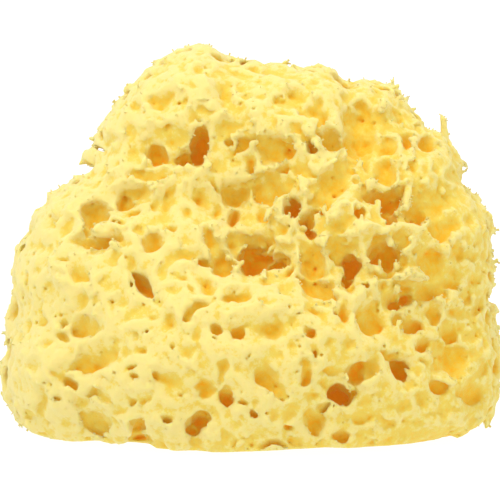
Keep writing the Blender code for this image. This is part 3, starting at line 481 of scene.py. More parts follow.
def outward(points):
    step = 0.5
    slope = np.stack([distanceAt(points + step * a) - distanceAt(points - step * a) for a in np.eye(3)], -1)
    return slope / np.linalg.norm(slope, axis=1, keepdims=True)


def march(starts, ways):
    points = starts.copy()
    for _ in range(70):
        points += ways * (0.9 * distanceAt(points))[:, None]
    return points


def ontoFront(placesOnPlane):
    # where the lines of sight through these places of the plane meet the dome
    eye = sight["centre"] + sightAxes()[2] * sight["distance"]
    plane = np.array([planePoint(a, u) for a, u in placesOnPlane])
    rays = plane - eye
    rays /= np.linalg.norm(rays, axis=1, keepdims=True)
    return march(eye + rays * (sight["distance"] - 110), rays), rays


def makeCanal(mouth, lift, inward, longWay, shortWay, rise, depth, dish, bowl, crisp=0.0):
    half = np.sqrt(np.linalg.norm(longWay) * np.linalg.norm(shortWay))
    return dict(
        bowl=bowl,
        crisp=crisp,
        mouth=mouth,
        lift=lift,
        rise=rise,
        dishMiddle=mouth + rise * relief["dishLift"] * half,
        ways=np.column_stack((longWay, shortWay, inward * depth)),
        halfWidth=half,
        depth=depth,
        dish=dish,
    )


def classDepth(depthClass, width):
    depth = frontHollows["firstDepth"] * depthClass ** frontHollows["depthPower"]
    depth += frontHollows["deepExtra"] * max(0, depthClass - frontHollows["deepFrom"])
    return min(depth, max(1.4, frontHollows["mostWidths"] * width))


def grooveRows():
    # a groove is a chain of overlapping hollows
    rows = []
    long, short = frontHollows["grooveWidths"]
    for line, width, depthClass in frontGrooves:
        line = np.array(line, float)
        for step in np.linspace(0, len(line) - 1, 3 * len(line) - 1):
            across, rise = [np.interp(step, range(len(line)), line[:, i]) for i in range(2)]
            rows.append((across, rise, width * long, width * short, 0, depthClass))
    return rows


def frontCanals():
    parts = ("crown", "leftFlank", "middle", "rightFlank", "foot")
    rows = [row for part in parts for row in frontHollows[part]] + grooveRows()
    mouths, rays = ontoFront([row[:2] for row in rows])
    up = sightAxes()[1]
    canals = []
    for row, mouth, ray, normal in zip(rows, mouths, rays, outward(mouths)):
        longWidth, shortWidth, turn, depthClass = row[2:]
        facing = max(frontHollows["leastFacing"], -ray @ normal)
        ways = [way + ray * (way @ normal) / facing * frontHollows["stretch"] for way in planeWays(turn)]
        inward = ray - normal * frontHollows["lean"] - up * np.interp(depthClass, *frontHollows["droop"])
        inward /= np.linalg.norm(inward)
        depth = classDepth(depthClass, shortWidth)
        dish = frontHollows["dishGain"] * (longWidth - frontHollows["dishFrom"])
        dish = np.clip(dish * min(depthClass, frontHollows["dishMost"]) / 2, 0, 1)
        widths = zip(ways, (longWidth, shortWidth), frontHollows["leastWidths"])
        halfWays = [way * max(width, least) / 2 for way, width, least in widths]
        first, last = frontHollows["bowlTo"]
        bowl = np.clip((last - depthClass) / (last - first), 0, 1)
        first, last = frontHollows["crispFrom"]
        crisp = np.clip((depthClass - first) / (last - first), 0, 1) * frontHollows["crispest"]
        canals.append(makeCanal(mouth, -ray / facing, inward, *halfWays, up, depth, dish, bowl, crisp))
    return canals


def fillingCanals(placed):
    rng = np.random.default_rng(body["seed"])
    back = sightAxes()[2]
    canals = []
    kept = np.array([(*canal["mouth"], canal["halfWidth"]) for canal in placed])
    for step in fillCanals["steps"]:
        ways = rng.normal(size=(step["tries"], 3))
        ways /= np.linalg.norm(ways, axis=1, keepdims=True)
        mouths = march(fillCanals["middle"] + ways * fillCanals["outside"], -ways)
        for mouth, normal in zip(mouths, outward(mouths)):
            half = rng.uniform(*step["halfWidth"])
            longHalf = half * rng.uniform(1.0, fillCanals["longest"])
            turn = rng.uniform(0, np.pi)
            depth = rng.uniform(*step["depth"])
            lean = rng.normal(size=3) * fillCanals["lean"]
            facing = normal @ back
            inFront = facing > fillCanals["frontLimit"] and not step["front"]
            # the large ones also keep off the outline and off the front's own margin
            onMargin = step["offEdge"] > 0 and 0 < facing < fillCanals["frontLimit"]
            onEdge = abs(facing) < step["offEdge"] or onMargin
            apart = np.linalg.norm(kept[:, :3] - mouth, axis=1) - kept[:, 3]
            if inFront or onEdge or mouth[2] < half or apart.min() < longHalf + step["gap"]:
                continue
            kept = np.vstack((kept, (*mouth, longHalf)))
            side = np.cross(normal, fillCanals["upright"])
            side /= np.linalg.norm(side)
            rise = np.cross(normal, side)
            inward = lean - normal - rise * fillCanals["droop"]
            inward /= np.linalg.norm(inward)
            longWay = (side * np.cos(turn) + rise * np.sin(turn)) * longHalf
            shortWay = (rise * np.cos(turn) - side * np.sin(turn)) * half
            dish = min(1.0, fillCanals["dishGain"] * half) if depth > fillCanals["dishFrom"] else 0
            first, last = fillCanals["bowlTo"]
            bowl = np.clip((last - depth) / (last - first), 0, 1)
            canals.append(makeCanal(mouth, normal, inward, longWay, shortWay, rise, depth, dish, bowl))
    return canals


def gridAxes():
    spans = zip(body["low"], body["high"])
    return [np.arange(low, high, body["cell"]).astype(np.float32) for low, high in spans]


def spread(axes):
    x, y, z = axes
    return x[:, None, None], y[None, :, None], z[None, None, :]


def smoothNoise(shape, spacing, seed):
    # random values on a coarse lattice, eased between its points
    rng = np.random.default_rng(seed)
    step = body["cell"] / spacing
    values = rng.uniform(-1, 1, [int(n * step) + 4 for n in shape]).astype(np.float32)
    for axis, count in enumerate(shape):
        place = np.arange(count, dtype=np.float32) * step + 1
        cell = place.astype(int)
        share = (place - cell) ** 2 * (3 - 2 * (place - cell))
        form = [1, 1, 1]
        form[axis] = count
        share = share.reshape(form).astype(np.float32)
        low = np.take(values, cell, axis)
        values = low + (np.take(values, cell + 1, axis) - low) * share
    return values


def layeredNoise(shape, layers, seed):
    return sum(size * smoothNoise(shape, spacing, seed + i) for i, (spacing, size) in enumerate(layers))


def blockRound(axes, low, high):
    return tuple(slice(*np.searchsorted(axis, (a, b))) for axis, a, b in zip(axes, low, high))


def blockPoints(axes, block, warp, share=1.0):
    x, y, z = spread([axis[part] for axis, part in zip(axes, block)])
    return x + share * warp[0][block], y + share * warp[1][block], z + share * warp[2][block]


def outlineShift(axes):
    # how far the skin moves outwards so that the dome's outline, seen from the front, is the real one
    up = sightAxes()[1]
    across, rise, depths, reaches = [np.arange(*outline[k]) for k in ("across", "rise", "depths", "reaches")]
    heights = rise[None, :, None] - sight["centreUp"] - depths[None, None, :] * up[1]
    heights = heights / up[2] + sight["centre"][2]
    shadow = bodyDistance(across[:, None, None], depths[None, None, :], heights).min(axis=2)
    middle = np.array(outline["middle"])
    angles = np.linspace(-outline["pastLevel"], np.pi + outline["pastLevel"], outline["rays"])
    placeX = middle[0] + np.cos(angles)[:, None] * reaches - across[0]
    placeV = middle[1] + np.sin(angles)[:, None] * reaches
    i = np.clip(placeX.astype(int), 0, len(across) - 2)
    j = np.clip(placeV.astype(int), 0, len(rise) - 2)
    fx, fv = np.clip(placeX - i, 0, 1), np.clip(placeV - j, 0, 1)
    seen = (
        shadow[i, j] * (1 - fx) * (1 - fv)
        + shadow[i + 1, j] * fx * (1 - fv)
        + shadow[i, j + 1] * (1 - fx) * fv
        + shadow[i + 1, j + 1] * fx * fv
    )
    grown = reaches[np.argmax(seen > 0, axis=1)]
    real = np.array(outline["points"], float) - middle
    realAngle = np.arctan2(real[:, 1], real[:, 0])
    realAngle[realAngle < -np.pi / 2] += 2 * np.pi
    order = np.argsort(realAngle)
    wanted = np.interp(angles, realAngle[order], np.hypot(real[:, 0], real[:, 1])[order])
    shift = wanted - grown
    span = int(radians(outline["broad"]) / (angles[1] - angles[0]))
    weights = np.hanning(2 * span + 3)[1:-1]
    broad = np.convolve(np.pad(shift, span, mode="edge"), weights / weights.sum(), mode="valid")
    xx, yy, zz = spread(axes)
    v = (zz - sight["centre"][2]) * up[2] + yy * up[1] + sight["centreUp"] - middle[1]
    angle = np.arctan2(v, xx - middle[0])
    angle = np.where(angle < -np.pi / 2, angle + 2 * np.pi, angle)
    far = np.interp(angle, angles, broad).astype(np.float32) * np.exp(-((yy / outline["reach"]) ** 2))
    close = np.interp(angle, angles, shift - broad).astype(np.float32)
    return far + close * np.exp(-((yy / outline["edgeReach"]) ** 2))


def sinkBroadly(solid, axes):
    rows = np.array(frontSinks, float)
    mouths, rays = ontoFront(rows[:, :2])
    rules = relief["sink"]
    for row, mouth, ray in zip(rows, mouths, rays):
        longWidth, shortWidth, turn, depth = row[2:]
        longWay, shortWay = planeWays(turn)
        margin = rules["reach"] * longWidth + rules["margin"]
        block = blockRound(axes, mouth - margin, mouth + margin)
        x, y, z = spread([axis[part] for axis, part in zip(axes, block)])
        x, y, z = x - mouth[0], y - mouth[1], z - mouth[2]
        along = (x * longWay[0] + y * longWay[1] + z * longWay[2]) / (rules["share"] * longWidth)
        aside = (x * shortWay[0] + y * shortWay[1] + z * shortWay[2]) / (rules["share"] * shortWidth)
        deep = (x * ray[0] + y * ray[1] + z * ray[2]) / rules["through"]
        solid[block] += (depth * np.exp(-(along**2 + aside**2 + deep**4))).astype(np.float32)


def raggedness(axes):
    # near 0 where the skin is smooth, and 1 where it is all sharp ridges
    x, y, z = spread(axes)
    shape = [len(axis) for axis in axes]
    up = sightAxes()[1]
    v = (z - sight["centre"][2]) * up[2] + y * up[1] + sight["centreUp"]
    front = np.zeros(np.broadcast_shapes(x.shape, v.shape), np.float32)
    for across, rise, reach, strength in frontRagged:
        front += strength * np.exp(-((x - across) ** 2 + (v - rise) ** 2) / reach**2).astype(np.float32)
    rules = relief["elsewhere"]
    elsewhere = rules["least"] + rules["swing"] * smoothNoise(shape, rules["spacing"], 400)
    facing = 1 / (1 + np.exp(y / rules["fade"]))
    ragged = np.clip(front, 0, 1) * facing + elsewhere * (1 - facing)
    ragged = ragged + rules["stray"] * smoothNoise(shape, rules["strayOver"], 401)
    return np.clip(ragged, relief["calmest"], 1).astype(np.float32)


def canalShares(canal, start, x, y, z):
    # a place in the canal's own frame: across it both ways as shares of its half widths, and down
    # as a share of its depth
    turn = np.linalg.inv(canal["ways"]).astype(np.float32)
    x, y, z = [part - np.float32(first) for part, first in zip((x, y, z), start)]
    return [turn[i, 0] * x + turn[i, 1] * y + turn[i, 2] * z for i in range(3)]


def sinkDishes(solid, axes, canals, warp, ragged):
    nearest = np.full((3, *solid.shape), 3 * relief["dishBlock"], np.float32)
    depth = np.zeros(solid.shape, np.float32)
    sizeTop, sizeFrom = relief["dishSize"]
    for canal in canals:
        if canal["dish"] < relief["leastDish"]:
            continue
        block = blockRound(axes, canal["mouth"] - relief["dishBlock"], canal["mouth"] + relief["dishBlock"])
        across, aside, down = canalShares(canal, canal["dishMiddle"], *blockPoints(axes, block, warp))
        half = np.float32(canal["halfWidth"])
        apart = np.sqrt(across**2 + aside**2 + (down * np.float32(canal["depth"]) / half) ** 2) - 1
        apart *= half * np.float32(sizeTop / (sizeFrom + half))
        closer = apart < nearest[0][block]
        depth[block] = np.where(closer, np.float32(canal["dish"]), depth[block])
        for rank in range(3):
            kept = nearest[rank][block]
            nearest[rank][block], apart = np.minimum(kept, apart), np.maximum(kept, apart)
    first, second, third = nearest
    smoothRound, raggedRound = relief["dishRound"]
    power = smoothRound + (raggedRound - smoothRound) * ragged
    dish = relief["dishDepth"] * (1 - np.exp(-(((second - first) / relief["dishEdge"]) ** power)))
    dish += relief["ridgeSag"] * (1 - np.exp((first - third) / relief["ridgeSagEdge"]))
    smoothShare, raggedShare = relief["dishShare"]
    calm = 1 - outline["calmShare"] * np.exp(-((spread(axes)[1] / outline["calm"]) ** 2))
    calm = calm * (smoothShare + raggedShare * ragged)
    solid += dish * depth * calm * np.exp(-((np.maximum(first, 0) / relief["dishReach"]) ** 2))


def canalBlock(axes, canal, warp):
    # the part of the grid round a canal, the place of its cells in the canal's own frame, and the
    # cosine of their turn from the canal's upper side
    top = -max(0.5, relief["headroom"] / canal["depth"])
    ends = (top, 1.05)
    corners = np.array([(i, j, k) for i in (-2, 2) for j in (-2, 2) for k in ends])
    reach = canal["mouth"] + corners @ canal["ways"].T
    block = blockRound(axes, reach.min(0) - 1, reach.max(0) + 1)
    across, aside, below = canalShares(canal, canal["mouth"], *blockPoints(axes, block, warp))
    radius = np.sqrt(across**2 + aside**2)
    upper = (np.linalg.inv(canal["ways"]) @ canal["rise"])[:2].astype(np.float32)
    upper /= np.linalg.norm(upper)
    return block, radius, below, (across * upper[0] + aside * upper[1]) / (radius + 0.3)


def raiseLip(solid, axes, canal, warp):
    rules = relief["lip"]
    height = min(rules["highest"], rules["size"] * canal["halfWidth"])
    height *= (1 - canal["bowl"]) * (rules["smooth"] + (1 - rules["smooth"]) * canal["ragged"])
    if height < rules["least"]:
        return
    block, radius, below, upper = canalBlock(axes, canal, warp)
    across = np.exp(-(((radius - 1 - rules["out"]) / rules["width"]) ** 2))
    down = np.exp(-((below * canal["depth"] / rules["deep"]) ** 2))
    solid[block] -= height * across * np.clip(-upper, 0, 1) * down


def openCanal(solid, axes, canal, warp):
    # a hollow that widens at its mouth, most on its upper side, and ends in a round bottom
    block, radius, below, upper = canalBlock(axes, canal, warp)
    down = np.clip(below, 0, 1)
    smooth = 1 - canal["ragged"]
    flare, rim = [low + (high - low) * smooth for low, high in (relief["flare"], relief["rimBlend"][::-1])]
    flareDepth = relief["flareDepth"] * (1 + relief["flareDepthTurn"] * upper)
    flare = flare * (1 - canal["crisp"])
    sunk = np.maximum(below * canal["depth"], -relief["flareTop"])
    flare = flare * (1 + relief["flareTurn"] * upper) * np.exp(-sunk / flareDepth)
    bowl = canal["bowl"]
    width = (1 + flare + (1 - bowl) * relief["undercut"] * np.sin(np.pi * down)) * np.sqrt(1 - down**3)
    width = (1 - bowl) * width + bowl * relief["bowlWidth"] * (1 - down**1.5)
    hole = (width - radius) * canal["halfWidth"]
    hole = np.where(below > 1, -1 - radius * canal["halfWidth"], hole)
    solid[block] = -smoothUnion(-solid[block], -hole, rim + relief["bowlBlend"] * bowl)


def openGaps(solid, axes, warp):
    # slits and notches of the edge that one sees through
    reach = outline["gapReach"]
    for across, rise, longWidth, shortWidth, turn in outlineGaps:
        middle = planePoint(across, rise)
        longWay, shortWay = planeWays(turn)
        margin = np.array((longWidth, reach, longWidth))
        block = blockRound(axes, middle - margin, middle + margin)
        points = blockPoints(axes, block, warp, outline["gapWarp"])
        x, y, z = [part - at for part, at in zip(points, middle)]
        along = (x * longWay[0] + y * longWay[1] + z * longWay[2]) / (longWidth / 2)
        aside = (x * shortWay[0] + y * shortWay[1] + z * shortWay[2]) / (shortWidth / 2)
        hole = (1 - np.sqrt(along**2 + aside**2) - (y / reach) ** 4) * shortWidth / 2
        solid[block] = np.maximum(solid[block], hole.astype(np.float32))


def liftFootEdge(solid, axes, skin):
    # cuts the lower edge of the front back up to its height, along the lines of sight; further back
    # the cut follows only the broad shape of the edge
    _, y, z = spread(axes)
    low = np.searchsorted(axes[2], outline["footLevel"])
    front = axes[1][np.argmax(skin[:, :, low] < 0, axis=1)][:, None, None]
    height = np.interp(axes[0], *np.array(footEdge).T)
    margin = outline["footBell"]
    steps = np.arange(-margin, margin + 1)
    bell = np.exp(-((steps * (axes[0][1] - axes[0][0]) / outline["footSpread"]) ** 2))
    broad = np.convolve(np.pad(height, margin, "edge"), bell / bell.sum(), "valid")
    behind = np.clip((y - front) / outline["footBehind"], 0, 1)
    height = height[:, None, None] * (1 - behind) + broad[:, None, None] * behind
    cut = height - np.tan(sight["tilt"]) * (y - front) - z
    return np.maximum(solid, np.where(y < outline["footStop"], cut, -2)).astype(np.float32)


def baseCanals():
    rng = np.random.default_rng(body["seed"] + 1)
    canals, kept = [], np.array([(0.0, 0.0, baseHollows["middle"])])
    for _ in range(baseHollows["tries"]):
        mouth = np.array((*rng.uniform(-1, 1, 2) * baseHollows["reach"], 0.0))
        half = rng.uniform(*baseHollows["halfWidth"])
        longHalf = half * rng.uniform(1.0, baseHollows["longest"])
        turn = rng.uniform(0, np.pi)
        depth = rng.uniform(*baseHollows["depth"])
        rim = distanceAt(mouth[None])[0] + longHalf + baseHollows["rim"]
        apart = np.linalg.norm(kept[:, :2] - mouth[:2], axis=1) - kept[:, 2]
        if rim > 0 or apart.min() < longHalf + baseHollows["gap"]:
            continue
        kept = np.vstack((kept, (*mouth[:2], longHalf)))
        side = np.array((np.cos(turn), np.sin(turn), 0.0))
        rise = np.array((-np.sin(turn), np.cos(turn), 0.0))
        upright = np.array((0.0, 0.0, 1.0))
        lift = np.zeros(3)
        canals.append(makeCanal(mouth, lift, upright, side * longHalf, rise * half, rise, depth, 0, 0))
    return canals


def addStrand(solid, axes, points, firstHalf, lastHalf, warp):
    # a chain of tapering rounded rods through the points
    points = np.array(points)
    margin = max(firstHalf, lastHalf) + 2
    block = blockRound(axes, points.min(0) - margin, points.max(0) + margin)
    x, y, z = blockPoints(axes, block, warp, relief["strandWarp"])
    for i in range(len(points) - 1):
        way = points[i + 1] - points[i]
        length = np.linalg.norm(way)
        way /= length
        dx, dy, dz = x - points[i][0], y - points[i][1], z - points[i][2]
        along = np.clip(dx * way[0] + dy * way[1] + dz * way[2], 0, length)
        off = [part - along * share for part, share in zip((dx, dy, dz), way)]
        aside = np.sqrt(off[0] ** 2 + off[1] ** 2 + off[2] ** 2)
        share = (i + along / length) / (len(points) - 1)
        half = firstHalf + (lastHalf - firstHalf) * share
        solid[block] = smoothUnion(solid[block], aside - half, relief["strandBlend"])


def boxBlur(values, halfCells):
    count = 2 * halfCells + 1
    for axis in range(3):
        padding = [(0, 0)] * 3
        padding[axis] = (halfCells + 1, halfCells)
        total = np.cumsum(np.pad(values, padding, mode="edge"), axis=axis, dtype=np.float32)
        high = np.take(total, range(count, total.shape[axis]), axis)
        low = np.take(total, range(0, total.shape[axis] - count), axis)
        values = (high - low) / count
    return values


def sharpness(solid):
    # up to 1 along the sharp ridges and rims, where little of what lies near is solid
    near = boxBlur(boxBlur((solid < 0).astype(np.float32), 1), 2)
    return np.clip((relief["sharpFrom"] - near) / relief["sharpSpan"], 0, 1)


def jagRidges(solid, ragged):
    # notches and swells along the sharp ridges
    smoothShare, raggedShare = relief["jagShare"]
    ridge = sharpness(solid) * np.exp(-((solid / relief["jagReach"]) ** 2))
    ridge = ridge * (smoothShare + raggedShare * ragged)
    solid += ridge * layeredNoise(solid.shape, relief["jags"], 250)


def surfaceCells(solid, limit):
    # the grid cells at the surface, a few cells off the base and the top of the grid
    i, j, k = np.nonzero(np.abs(solid) < limit)
    inside = (k > 6) & (k < solid.shape[2] - 4)
    return np.stack((i[inside], j[inside], k[inside]), axis=1)


def cellSlope(solid, cells):
    i, j, k = cells.T
    slopeX = solid[i + 1, j, k] - solid[i - 1, j, k]
    slopeY = solid[i, j + 1, k] - solid[i, j - 1, k]
    slopeZ = solid[i, j, k + 1] - solid[i, j, k - 1]
    slope = np.stack((slopeX, slopeY, slopeZ), axis=1)
    return slope / (np.linalg.norm(slope, axis=1, keepdims=True) + 1e-6)


def spacedOut(points, apart, most):
    # keeps points that stay a given way from those kept before, by cells of that size
    kept, taken = [], {}
    sides = [(a, b, c) for a in (-1, 0, 1) for b in (-1, 0, 1) for c in (-1, 0, 1)]
    for index, point in enumerate(points):
        home = tuple((point // apart).astype(int))
        near = [taken.get((home[0] + a, home[1] + b, home[2] + c)) for a, b, c in sides]
        if all(other is None or ((points[other] - point) ** 2).sum() > apart**2 for other in near):
            taken[home] = index
            kept.append(index)
            if len(kept) == most:
                break
    return kept


def growTips(solid, axes, skin, ragged, warp):
    # torn pointed ends along the ridges and over the rims of the canals
    rules = relief["tips"]
    rng = np.random.default_rng(body["seed"] + 5)
    cells = surfaceCells(solid, rules["near"])
    i, j, k = cells.T
    sharp = sharpness(solid)[i, j, k] > rules["sharp"]
    cells = cells[sharp & (skin[i, j, k] > -rules["deepest"]) & (ragged[i, j, k] > rules["leastRagged"])]
    cells = cells[rng.permutation(len(cells))]
    points = np.stack([axis[part] for axis, part in zip(axes, cells.T)], axis=1).astype(float)
    chosen = spacedOut(points, rules["apart"], rules["count"])
    points = points[chosen]
    layDown = rng.uniform(*rules["layDown"], len(points))[:, None]
    ways = cellSlope(solid, cells[chosen]) - outward(points) * layDown
    ways += rng.normal(size=ways.shape) * rules["stray"] + np.array((0, 0, rules["rise"]))
    ways /= np.linalg.norm(ways, axis=1, keepdims=True)
    for point, way in zip(points, ways):
        length = rng.uniform(*rules["length"]) * rng.uniform(0.5, 1.0)
        foot = rng.uniform(*rules["foot"])
        bend = way + rng.normal(size=3) * rules["bend"]
        bend /= np.linalg.norm(bend)
        middle = point + way * length * rules["bendAt"]
        line = [point - way * rules["rooted"], middle, middle + bend * length * (1 - rules["bendAt"])]
        if line[-1][2] > rules["lowest"]:
            addStrand(solid, axes, line, foot, rules["tip"], warp)
    print("tips:", len(chosen))


def pierce(solid, axes):
    # small round pores in the walls
    rules = relief["pores"]
    rng = np.random.default_rng(body["seed"] + 6)
    cells = surfaceCells(solid, rules["near"])
    cells = cells[rng.permutation(len(cells))]
    points = np.stack([axis[part] for axis, part in zip(axes, cells.T)], axis=1).astype(float)
    chosen = spacedOut(points, rules["apart"], rules["count"])
    slopes = cellSlope(solid, cells[chosen])
    for point, slope in zip(points[chosen], slopes):
        low, high = rules["halfWidth"]
        half = low + (high - low) * rng.random() ** 2
        for down in (0.0, rules["second"] * half):
            centre = point - slope * down
            block = blockRound(axes, centre - rules["reach"], centre + rules["reach"])
            x, y, z = spread([axis[part] for axis, part in zip(axes, block)])
            aside = np.sqrt((x - centre[0]) ** 2 + (y - centre[1]) ** 2 + (z - centre[2]) ** 2)
            solid[block] = np.maximum(solid[block], half - aside)
    print("pores:", len(chosen))


def sampleSponge():
    axes = gridAxes()
    shape = tuple(len(axis) for axis in axes)
    ragged = raggedness(axes)
    warp = np.stack([layeredNoise(shape, relief["warp"], 100 + 10 * i) for i in range(3)])
    for i in range(3):
        warp[i] += ragged * layeredNoise(shape, relief["raggedWarp"], 105 + 10 * i)
    print("waviness sampled", shape)
    x, y, z = spread(axes)
    skin = bodyDistance(x, y, z).astype(np.float32) - outlineShift(axes)
    print("dome sampled")
    solid = skin - body["skinRise"] - layeredNoise(shape, relief["lumps"], 200)
    calm = 1 - outline["calmShare"] * np.exp(-((y / outline["lumpCalm"]) ** 2))
    solid -= ragged * layeredNoise(shape, relief["raggedLumps"], 220) * calm
    sinkBroadly(solid, axes)
    placed = frontCanals()
    canals = fillingCanals(placed) + placed + baseCanals()
    print("canals:", len(canals), "laid by hand:", len(placed))
    mouths = np.array([canal["mouth"] for canal in canals])
    for canal, share in zip(canals, readGrid(axes, ragged, mouths)):
        canal["ragged"] = share
        narrowing = relief["smoothWidth"] + (1 - relief["smoothWidth"]) * share
        canal["ways"][:, :2] *= narrowing
        canal["halfWidth"] *= narrowing
    sinkDishes(solid, axes, canals, warp, ragged)
    # each mouth is laid on the lumps and in the sinks as they are now, and so is each strand
    most = relief["mostLift"]
    for canal, deep in zip(canals, readGrid(axes, solid, mouths)):
        canal["mouth"] = canal["mouth"] - canal["lift"] * np.clip(deep, -most, most)
    strands = []
    for line, firstHalf, lastHalf, deep in frontStrands:
        places, rays = ontoFront(line)
        heights = readGrid(axes, solid, places)
        strands.append((places + rays * (deep + heights[:, None]), firstHalf, lastHalf))
    for canal in canals:
        raiseLip(solid, axes, canal, warp)
    for canal in canals:
        openCanal(solid, axes, canal, warp)
    print("canals open")
    growTips(solid, axes, skin, ragged, warp)
    for line, firstHalf, lastHalf in strands:
        addStrand(solid, axes, line, firstHalf, lastHalf, warp)
    for foot, tip, half in outlineSpines:
        points = [planePoint(*foot), planePoint(*tip)]
        addStrand(solid, axes, points, half, relief["spineTip"], warp)
    jagRidges(solid, ragged)
    print("ridges jagged")
    smoothShare, raggedShare = relief["grainShare"]
    solid += layeredNoise(shape, relief["grain"], 300) * (smoothShare + raggedShare * ragged)
    pierce(solid, axes)
    openGaps(solid, axes, warp)
    solid = liftFootEdge(solid, axes, skin)
    return axes, np.maximum(solid, -z), skin, ragged


def readGrid(axes, values, points):
    # values of the grid at the points, eased between its cells
    place = [(points[:, i] - axes[i][0]) / body["cell"] for i in range(3)]
    low = [np.clip(p.astype(int), 0, len(a) - 2) for p, a in zip(place, axes)]
    share = [np.clip(p - c, 0, 1) for p, c in zip(place, low)]
    found = 0
    for corner in range(8):
        bits = [(corner >> i) & 1 for i in range(3)]
        weight = 1
        for part, bit in zip(share, bits):
            weight = weight * (part if bit else 1 - part)
        found = found + weight * values[tuple(c + bit for c, bit in zip(low, bits))]
    return found


def skinMesh(axes, solid, name):
    grid = openvdb.FloatGrid(background=2.0)
    grid.copyFromArray(np.clip(solid, -2, 2).astype(np.float32))
    points, triangles, quads = grid.convertToPolygons(isovalue=0.0, adaptivity=0.0)
    corner = np.array([axis[0] for axis in axes])
    points = points * body["cell"] + corner
    mesh = bpy.data.meshes.new(name)
    mesh.from_pydata(points * mm, [], quads[:, ::-1].tolist() + triangles[:, ::-1].tolist())
    print("skin faces:", len(mesh.polygons))
    return mesh


def linear(hexColour):
    parts = [int(hexColour[i : i + 2], 16) / 255 for i in (1, 3, 5)]
    return (*[p / 12.92 if p <= 0.04045 else ((p + 0.055) / 1.055) ** 2.4 for p in parts], 1)


def addNode(tree, kind, settings=None, inputs=None, links=None):
    node = tree.nodes.new(kind)
    for key, value in (settings or {}).items():
        setattr(node, key, value)
    for key, value in (inputs or {}).items():
        node.inputs[key].default_value = value
    for key, source in (links or {}).items():
        tree.links.new(source, node.inputs[key])
    return node


def newTree(name):
    tree = bpy.data.node_groups.new(name, "GeometryNodeTree")
    tree.interface.new_socket("Geometry", in_out="INPUT", socket_type="NodeSocketGeometry")
    tree.interface.new_socket("Geometry", in_out="OUTPUT", socket_type="NodeSocketGeometry")
    return tree, tree.nodes.new("NodeGroupInput")


def largestPieceTree():
    # keeps the one body with the most points and drops crumbs and sealed pockets
    tree, entry = newTree("Keep Largest Piece")
    island = addNode(tree, "GeometryNodeInputMeshIsland")
    count = addNode(
        tree, "GeometryNodeAccumulateField", dict(data_type="INT", domain="POINT"), inputs={"Value": 1},
        links={"Group ID": island.outputs["Island Index"]},
    )
    most = addNode(
        tree, "GeometryNodeAttributeStatistic", dict(domain="POINT"),
        links={"Geometry": entry.outputs[0], "Attribute": count.outputs["Total"]},
    )
    smaller = addNode(
        tree, "FunctionNodeCompare", dict(data_type="FLOAT", operation="LESS_THAN"),
        links={0: count.outputs["Total"], 1: most.outputs["Max"]},
    )
    drop = addNode(
        tree, "GeometryNodeDeleteGeometry", dict(domain="POINT"),
        links={"Geometry": entry.outputs[0], "Selection": smaller.outputs["Result"]},
    )
    addNode(tree, "NodeGroupOutput", links={0: drop.outputs["Geometry"]})
    return tree


def finishedMesh(obj, name):
    mesh = bpy.data.meshes.new_from_object(obj.evaluated_get(bpy.context.evaluated_depsgraph_get()))
    mesh.name = name
    return mesh


def makeBody():
    axes, solid, skin, ragged = sampleSponge()
    obj = bpy.data.objects.new("spongeBody", skinMesh(axes, solid, "spongeBody"))
    bpy.context.scene.collection.objects.link(obj)
    keep = obj.modifiers.new("largest", "NODES")
    keep.node_group = largestPieceTree()
    obj.data = finishedMesh(obj, "spongeWhole")
    obj.modifiers.clear()
    print("whole faces:", len(obj.data.polygons))
    thin = obj.modifiers.new("thin", "DECIMATE")
    obj.data.calc_loop_triangles()
    thin.ratio = body["faces"] / len(obj.data.loop_triangles)
    obj.data = finishedMesh(obj, "spongeBody")
    obj.modifiers.clear()
    mesh = obj.data
    mesh.shade_smooth()
    points = np.empty(3 * len(mesh.vertices), np.float32)
    mesh.vertices.foreach_get("co", points)
    points = points.reshape(-1, 3) / mm
    # shares of solid close round each point and wider, and how deep it lies below the dome's skin: the
    # material paints highlight on the crests and shade in the hollows and pores from them
    solidShare = (solid < 0).astype(np.float32)
    close, wide = [
        readGrid(axes, boxBlur(boxBlur(solidShare, cells), cells), points)
        for cells in (body["closeCells"], body["wideCells"])
    ]
    below = -readGrid(axes, skin, points)
    fringe = body["leastFringe"] + (1 - body["leastFringe"]) * readGrid(axes, ragged, points)
    fringe = fringe * (points[:, 2] > body["bareBelow"])
    for name, values in (("crest", close), ("hollow", wide), ("below", below), ("ragged", fringe)):
        layer = mesh.attributes.new(name, "FLOAT", "POINT")
        layer.data.foreach_set("value", values.astype(np.float32))
    layer = mesh.attributes.new("outwardWay", "FLOAT_VECTOR", "POINT")
    layer.data.foreach_set("vector", outward(points.astype(float)).astype(np.float32).ravel())
    print("body faces:", len(mesh.polygons))
    return obj
